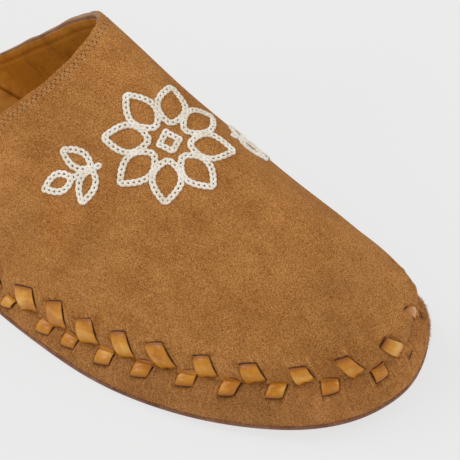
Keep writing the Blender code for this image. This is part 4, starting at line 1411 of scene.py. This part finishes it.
# %% [markdown]
# ## The embroidery
# A folk flower in chain stitch: eight pointed petals round a small diamond, and two sprays of
# leaves. The drawing is a set of lines on a flat sheet in millimetres. It is laid on the vamp along
# the direction the suede faces there, and each chain link is a small ring of thread that overlaps
# the next. A painted texture would stay flat in the light.

# %% The drawing of the flower
def lens(start, end, width, count=24):
    """The outline of a petal or a leaf from start to end."""
    start, end = np.array(start, float), np.array(end, float)
    axis = end - start
    side = np.array([-axis[1], axis[0]]) / np.hypot(*axis)
    t = np.linspace(0.0, 1.0, count)[:, None]
    bulge = width / 2 * np.sin(math.pi * t ** 0.85) ** 0.9
    there, back = start + axis * t + side * bulge, start + axis * t - side * bulge
    return np.concatenate([there, back[::-1][1:]])


def polar(radius, degrees):
    return np.array([radius * math.cos(math.radians(degrees)), radius * math.sin(math.radians(degrees))])


def flower():
    lines = [lens(polar(5.2, a), polar(16.5, a), 7.4) for a in np.arange(8) * 45.0 + 22.5]
    lines.append(np.array([polar(2.7, a) for a in (0, 90, 180, 270, 360)]))
    for side in (1, -1):
        lines.append(np.array([(0.0, side * 18.4), (0.5, side * 22.5), (0.3, side * 26.5)]))
        lines.append(lens((0.3, side * 26.5), (0.0, side * 34.0), 4.4, 14))
        for way in (1, -1):
            lean = math.radians(38.0)
            root = np.array([0.3 * way, side * 20.8])
            tip = root + 8.6 * np.array([way * math.cos(lean), side * math.sin(lean)])
            lines.append(lens(root, tip, 4.2, 14))
    return lines


print(len(flower()), "lines in the drawing")

# %% Walking on the vamp
MOTIF_AT = np.array([0.0340, 0.0035])
MOTIF_TURN, MOTIF_SCALE = math.radians(-28.0), 1.17
STRIDE = 0.002


def motif_axes():
    """Where the flower's middle lies on the suede, the drawing's two directions there, and the way
    the suede faces."""
    spot, _, _, _ = TREE.ray_cast(Vector((*MOTIF_AT, 0.2)), Vector((0, 0, -1)))
    middle = np.array(spot)
    up = unit(set_down(middle)[1] * np.array([1.0, 0.35, 1.0]))
    e1 = unit(np.array([1.0, 0.0, 0.0]) - up * up[0])
    e2 = np.cross(up, e1)
    cos, sin = math.cos(MOTIF_TURN), math.sin(MOTIF_TURN)
    return middle, e1 * cos + e2 * sin, e2 * cos - e1 * sin, up


MIDDLE, DRAW_X, DRAW_Y, MIDDLE_UP = motif_axes()


def walk_on_vamp(flat):
    """Walk from the flower's middle over the suede, straight ahead, as far as the drawing says."""
    far = float(np.hypot(*flat))
    if far < 1e-6:
        return MIDDLE, MIDDLE_UP
    way = (DRAW_X * flat[0] + DRAW_Y * flat[1]) / far
    spot, up, steps = MIDDLE, MIDDLE_UP, max(1, math.ceil(far / STRIDE))
    for _ in range(steps):
        way = unit(way - up * (way @ up))
        hit, face, _, _ = TREE.find_nearest(Vector(spot + way * far / steps))
        face = np.array(face)
        spot, up = np.array(hit), unit(0.5 * up + 0.5 * (face if face @ up > 0 else -face))
    return spot, up


print("the flower's middle in mm", in_mm(MIDDLE))

# %% Chain links along the drawing
LINK_PITCH, LINK_LONG, LINK_WIDE, LINK_THREAD = 0.00162, 0.00096, 0.00065, 0.00046
LINK_AHEAD, LINK_STRAY, LINK_UNEVEN = 0.0004, 0.10, 0.07
LINK_RISE, LINK_TIP, LINK_FLAT = 0.00022, 0.00014, 0.85
RING_TURNS, TUBE_TURNS = 12, 6
LINK_FACES = grid_faces(RING_TURNS, TUBE_TURNS, True, True).tolist()


def chain_link(here, along, side, up, wide):
    """A flat ring of thread that lifts at its front, where it lies on the next one's end."""
    points = []
    for a in range(RING_TURNS):
        turn = 2 * math.pi * a / RING_TURNS
        out = along * math.cos(turn) * LINK_LONG + side * math.sin(turn) * wide
        outward = unit(along * math.cos(turn) * LINK_WIDE + side * math.sin(turn) * LINK_LONG)
        rise = LINK_RISE + LINK_TIP * math.cos(turn)
        for b in range(TUBE_TURNS):
            tube = 2 * math.pi * b / TUBE_TURNS
            points.append(here + out + outward * math.cos(tube) * LINK_THREAD
                          + up * (rise + math.sin(tube) * LINK_THREAD * LINK_FLAT))
    return points


embroidery, links = Heap(), 0
for drawn in flower():
    drawn = drawn * MM * MOTIF_SCALE
    run = by_chord(drawn)
    count = max(2, round(run[-1] / LINK_PITCH))
    for t in (np.arange(count) + 0.5) / count * run[-1]:
        flat, ahead = (np.array([np.interp(v, run, drawn[:, c]) for c in (0, 1)])
                       for v in (t, min(t + LINK_AHEAD, run[-1])))
        if np.allclose(flat, ahead):
            continue
        here, up = walk_on_vamp(flat)
        along = unit(walk_on_vamp(ahead)[0] - here)
        side = unit(np.cross(up, along))
        along = unit(along + side * math.sin(links * 2.7) * LINK_STRAY)
        side = unit(np.cross(up, along))
        wide = LINK_WIDE * (1.0 + LINK_UNEVEN * math.sin(links * 5.3))
        embroidery.add(chain_link(here, along, side, up, wide), LINK_FACES)
        links += 1
print(links, "chain links")
add_piece("flower_embroidery", embroidery.points, embroidery.faces, [CREAM_THREAD])

# %% [markdown]
# ## Fibres of the nap
# At the outline the nap stands up as a fine fuzz. Each fibre is a bent blade of two faces, rooted on
# the suede and leaning with the nap, in a paler suede finish that paints in the highlight of tips
# that catch the light. They are joined in one mesh for each suede piece, so they stay light.

# %% Nap fibres
FIBRE_LONG, FIBRE_WIDE, FIBRE_ROOT = (0.00050, 0.00130), 0.000080, 0.00004
FIBRE_LEAN, FIBRE_ASTRAY, FIBRE_STAND = (1.0, -0.25, -0.5), 0.9, (0.35, 1.10)


def fibres(name, grid, closed, count, seed):
    """Bent blades, spread evenly over a grid of points."""
    random = np.random.default_rng(seed)
    quads = grid_faces(grid.shape[0], grid.shape[1], closed)
    p = grid.reshape(-1, 3)
    a, b, c, d = (p[quads[:, j]] for j in range(4))
    face_normal = np.cross(c - a, d - b)
    area = np.linalg.norm(face_normal, axis=1)
    pick = random.choice(len(quads), count, p=area / area.sum())
    u, v = random.random((2, count, 1))
    root = (a[pick] * (1 - u) * (1 - v) + b[pick] * u * (1 - v) + c[pick] * u * v
            + d[pick] * (1 - u) * v)
    normal = unit(face_normal[pick])
    lean = unit(np.array(FIBRE_LEAN) + FIBRE_ASTRAY * random.normal(size=(count, 3)))
    lean = unit(lean - normal * (lean * normal).sum(axis=1)[:, None])
    side = np.cross(normal, lean) * FIBRE_WIDE / 2
    size = random.uniform(*FIBRE_LONG, size=(count, 1))
    stand = random.uniform(*FIBRE_STAND, size=(count, 1))
    middle = root + (lean * 0.55 + normal * stand * 0.5) * size
    tip = root + (lean * 1.0 + normal * stand * 0.62) * size
    root = root - normal * FIBRE_ROOT
    points = np.stack([root - side, root + side, middle + side * 0.8, middle - side * 0.8, tip], axis=1)
    first = np.arange(count)[:, None] * 5
    faces = (first + np.array([0, 1, 2, 3])).tolist() + (first + np.array([3, 2, 4])).tolist()
    add_piece(name, points.reshape(-1, 3), faces, [NAP_FIBRE_HIGHLIGHT])


fibres("vamp_nap", SKIN[:, ::-1], False, 38000, 11)
fibres("rand_nap", RAND_GRID[:, ::-1], True, 22000, 12)

# %% [markdown]
# ## Floor, light and camera
# The picture has an even pale ground and soft light with hardly any shadow. A wide floor that glows
# a little and an even sky give that. Four suns shape the suede: a soft key from behind the heel
# makes the tops lighter, a wide fill comes from the far side, a weak one reaches the toe, and a
# narrow one from the near side glints on the waxed thong. Suns are used, and not lamps near the
# shoe, because their light is the same everywhere.

# %% The studio
FLOOR_HALF, FLOOR_DROP, SKY = 6.0, 0.0004, 0.49
FLOOR = Finish("pale floor", (0.13, 0.13, 0.13), 0.9, Specular_IOR_Level=0.02,
               Emission_Color=(1.0, 1.0, 1.0, 1.0), Emission_Strength=0.709)
FLOOR.colour(FLOOR.mix(FLOOR.noise(0.8, detail=1.0), (0.129, 0.129, 0.129), (0.131, 0.131, 0.131)))
mesh = bpy.data.meshes.new("floor")
mesh.from_pydata([(x * FLOOR_HALF, y * FLOOR_HALF, 0) for x, y in ((-1, -1), (1, -1), (1, 1), (-1, 1))],
                 [], [(0, 1, 2, 3)])
mesh.materials.append(FLOOR.material)
floor = bpy.data.objects.new("floor", mesh)
floor.location = (0.0, 0.0, -FLOOR_DROP)
bpy.context.scene.collection.objects.link(floor)

world = bpy.data.worlds.new("even sky")
world.use_nodes = True
world.node_tree.nodes["Background"].inputs["Color"].default_value = (1.0, 1.0, 1.0, 1.0)
world.node_tree.nodes["Background"].inputs["Strength"].default_value = SKY
bpy.context.scene.world = world


def sun(name, direction, angle, strength):
    """Light from this direction; a wide angle makes it soft."""
    light = bpy.data.lights.new(name, "SUN")
    light.angle, light.energy = math.radians(angle), strength
    lamp = bpy.data.objects.new(name, light)
    lamp.location = Vector(direction)
    lamp.rotation_euler = Vector(direction).to_track_quat("Z", "Y").to_euler()
    bpy.context.scene.collection.objects.link(lamp)


sun("soft key", (-0.75, -0.20, 0.80), 36.0, 1.02)
sun("soft fill", (0.60, 0.70, 0.60), 60.0, 0.56)
sun("toe light", (0.85, -0.25, 0.35), 45.0, 0.28)
sun("glint", (-0.30, -0.80, 0.55), 12.0, 0.42)
bpy.context.scene.view_settings.view_transform = "Standard"
print("four suns and an even sky")

# %% [markdown]
# ## The camera
# The camera keeps the photograph's angle. Its three directions and the point it looks at were found
# by fitting the shoe's outline to the photograph. It stands far off with a long lens, so the shoe
# shows almost no perspective, as in the photograph.

# %% The camera
RIGHT = Vector((0.75191, 0.65927, 0.0))
UP = Vector((-0.46055, 0.52527, 0.71553))
BACK = Vector((0.47173, -0.53802, 0.69858))
LOOK_AT, DISTANCE_AWAY, SENSOR, LENS = Vector((0.05401, 0.00777, 0.02758)), 1.2, 36.0, 316.7
camera = bpy.data.cameras.new("camera")
camera.sensor_width, camera.lens = SENSOR, LENS
eye = bpy.data.objects.new("camera", camera)
turned = Matrix((RIGHT, UP, BACK)).transposed().to_4x4()
eye.matrix_world = Matrix.Translation(LOOK_AT + BACK * DISTANCE_AWAY) @ turned
bpy.context.scene.collection.objects.link(eye)
bpy.context.scene.camera = eye
print("camera in mm", in_mm(eye.matrix_world.translation))
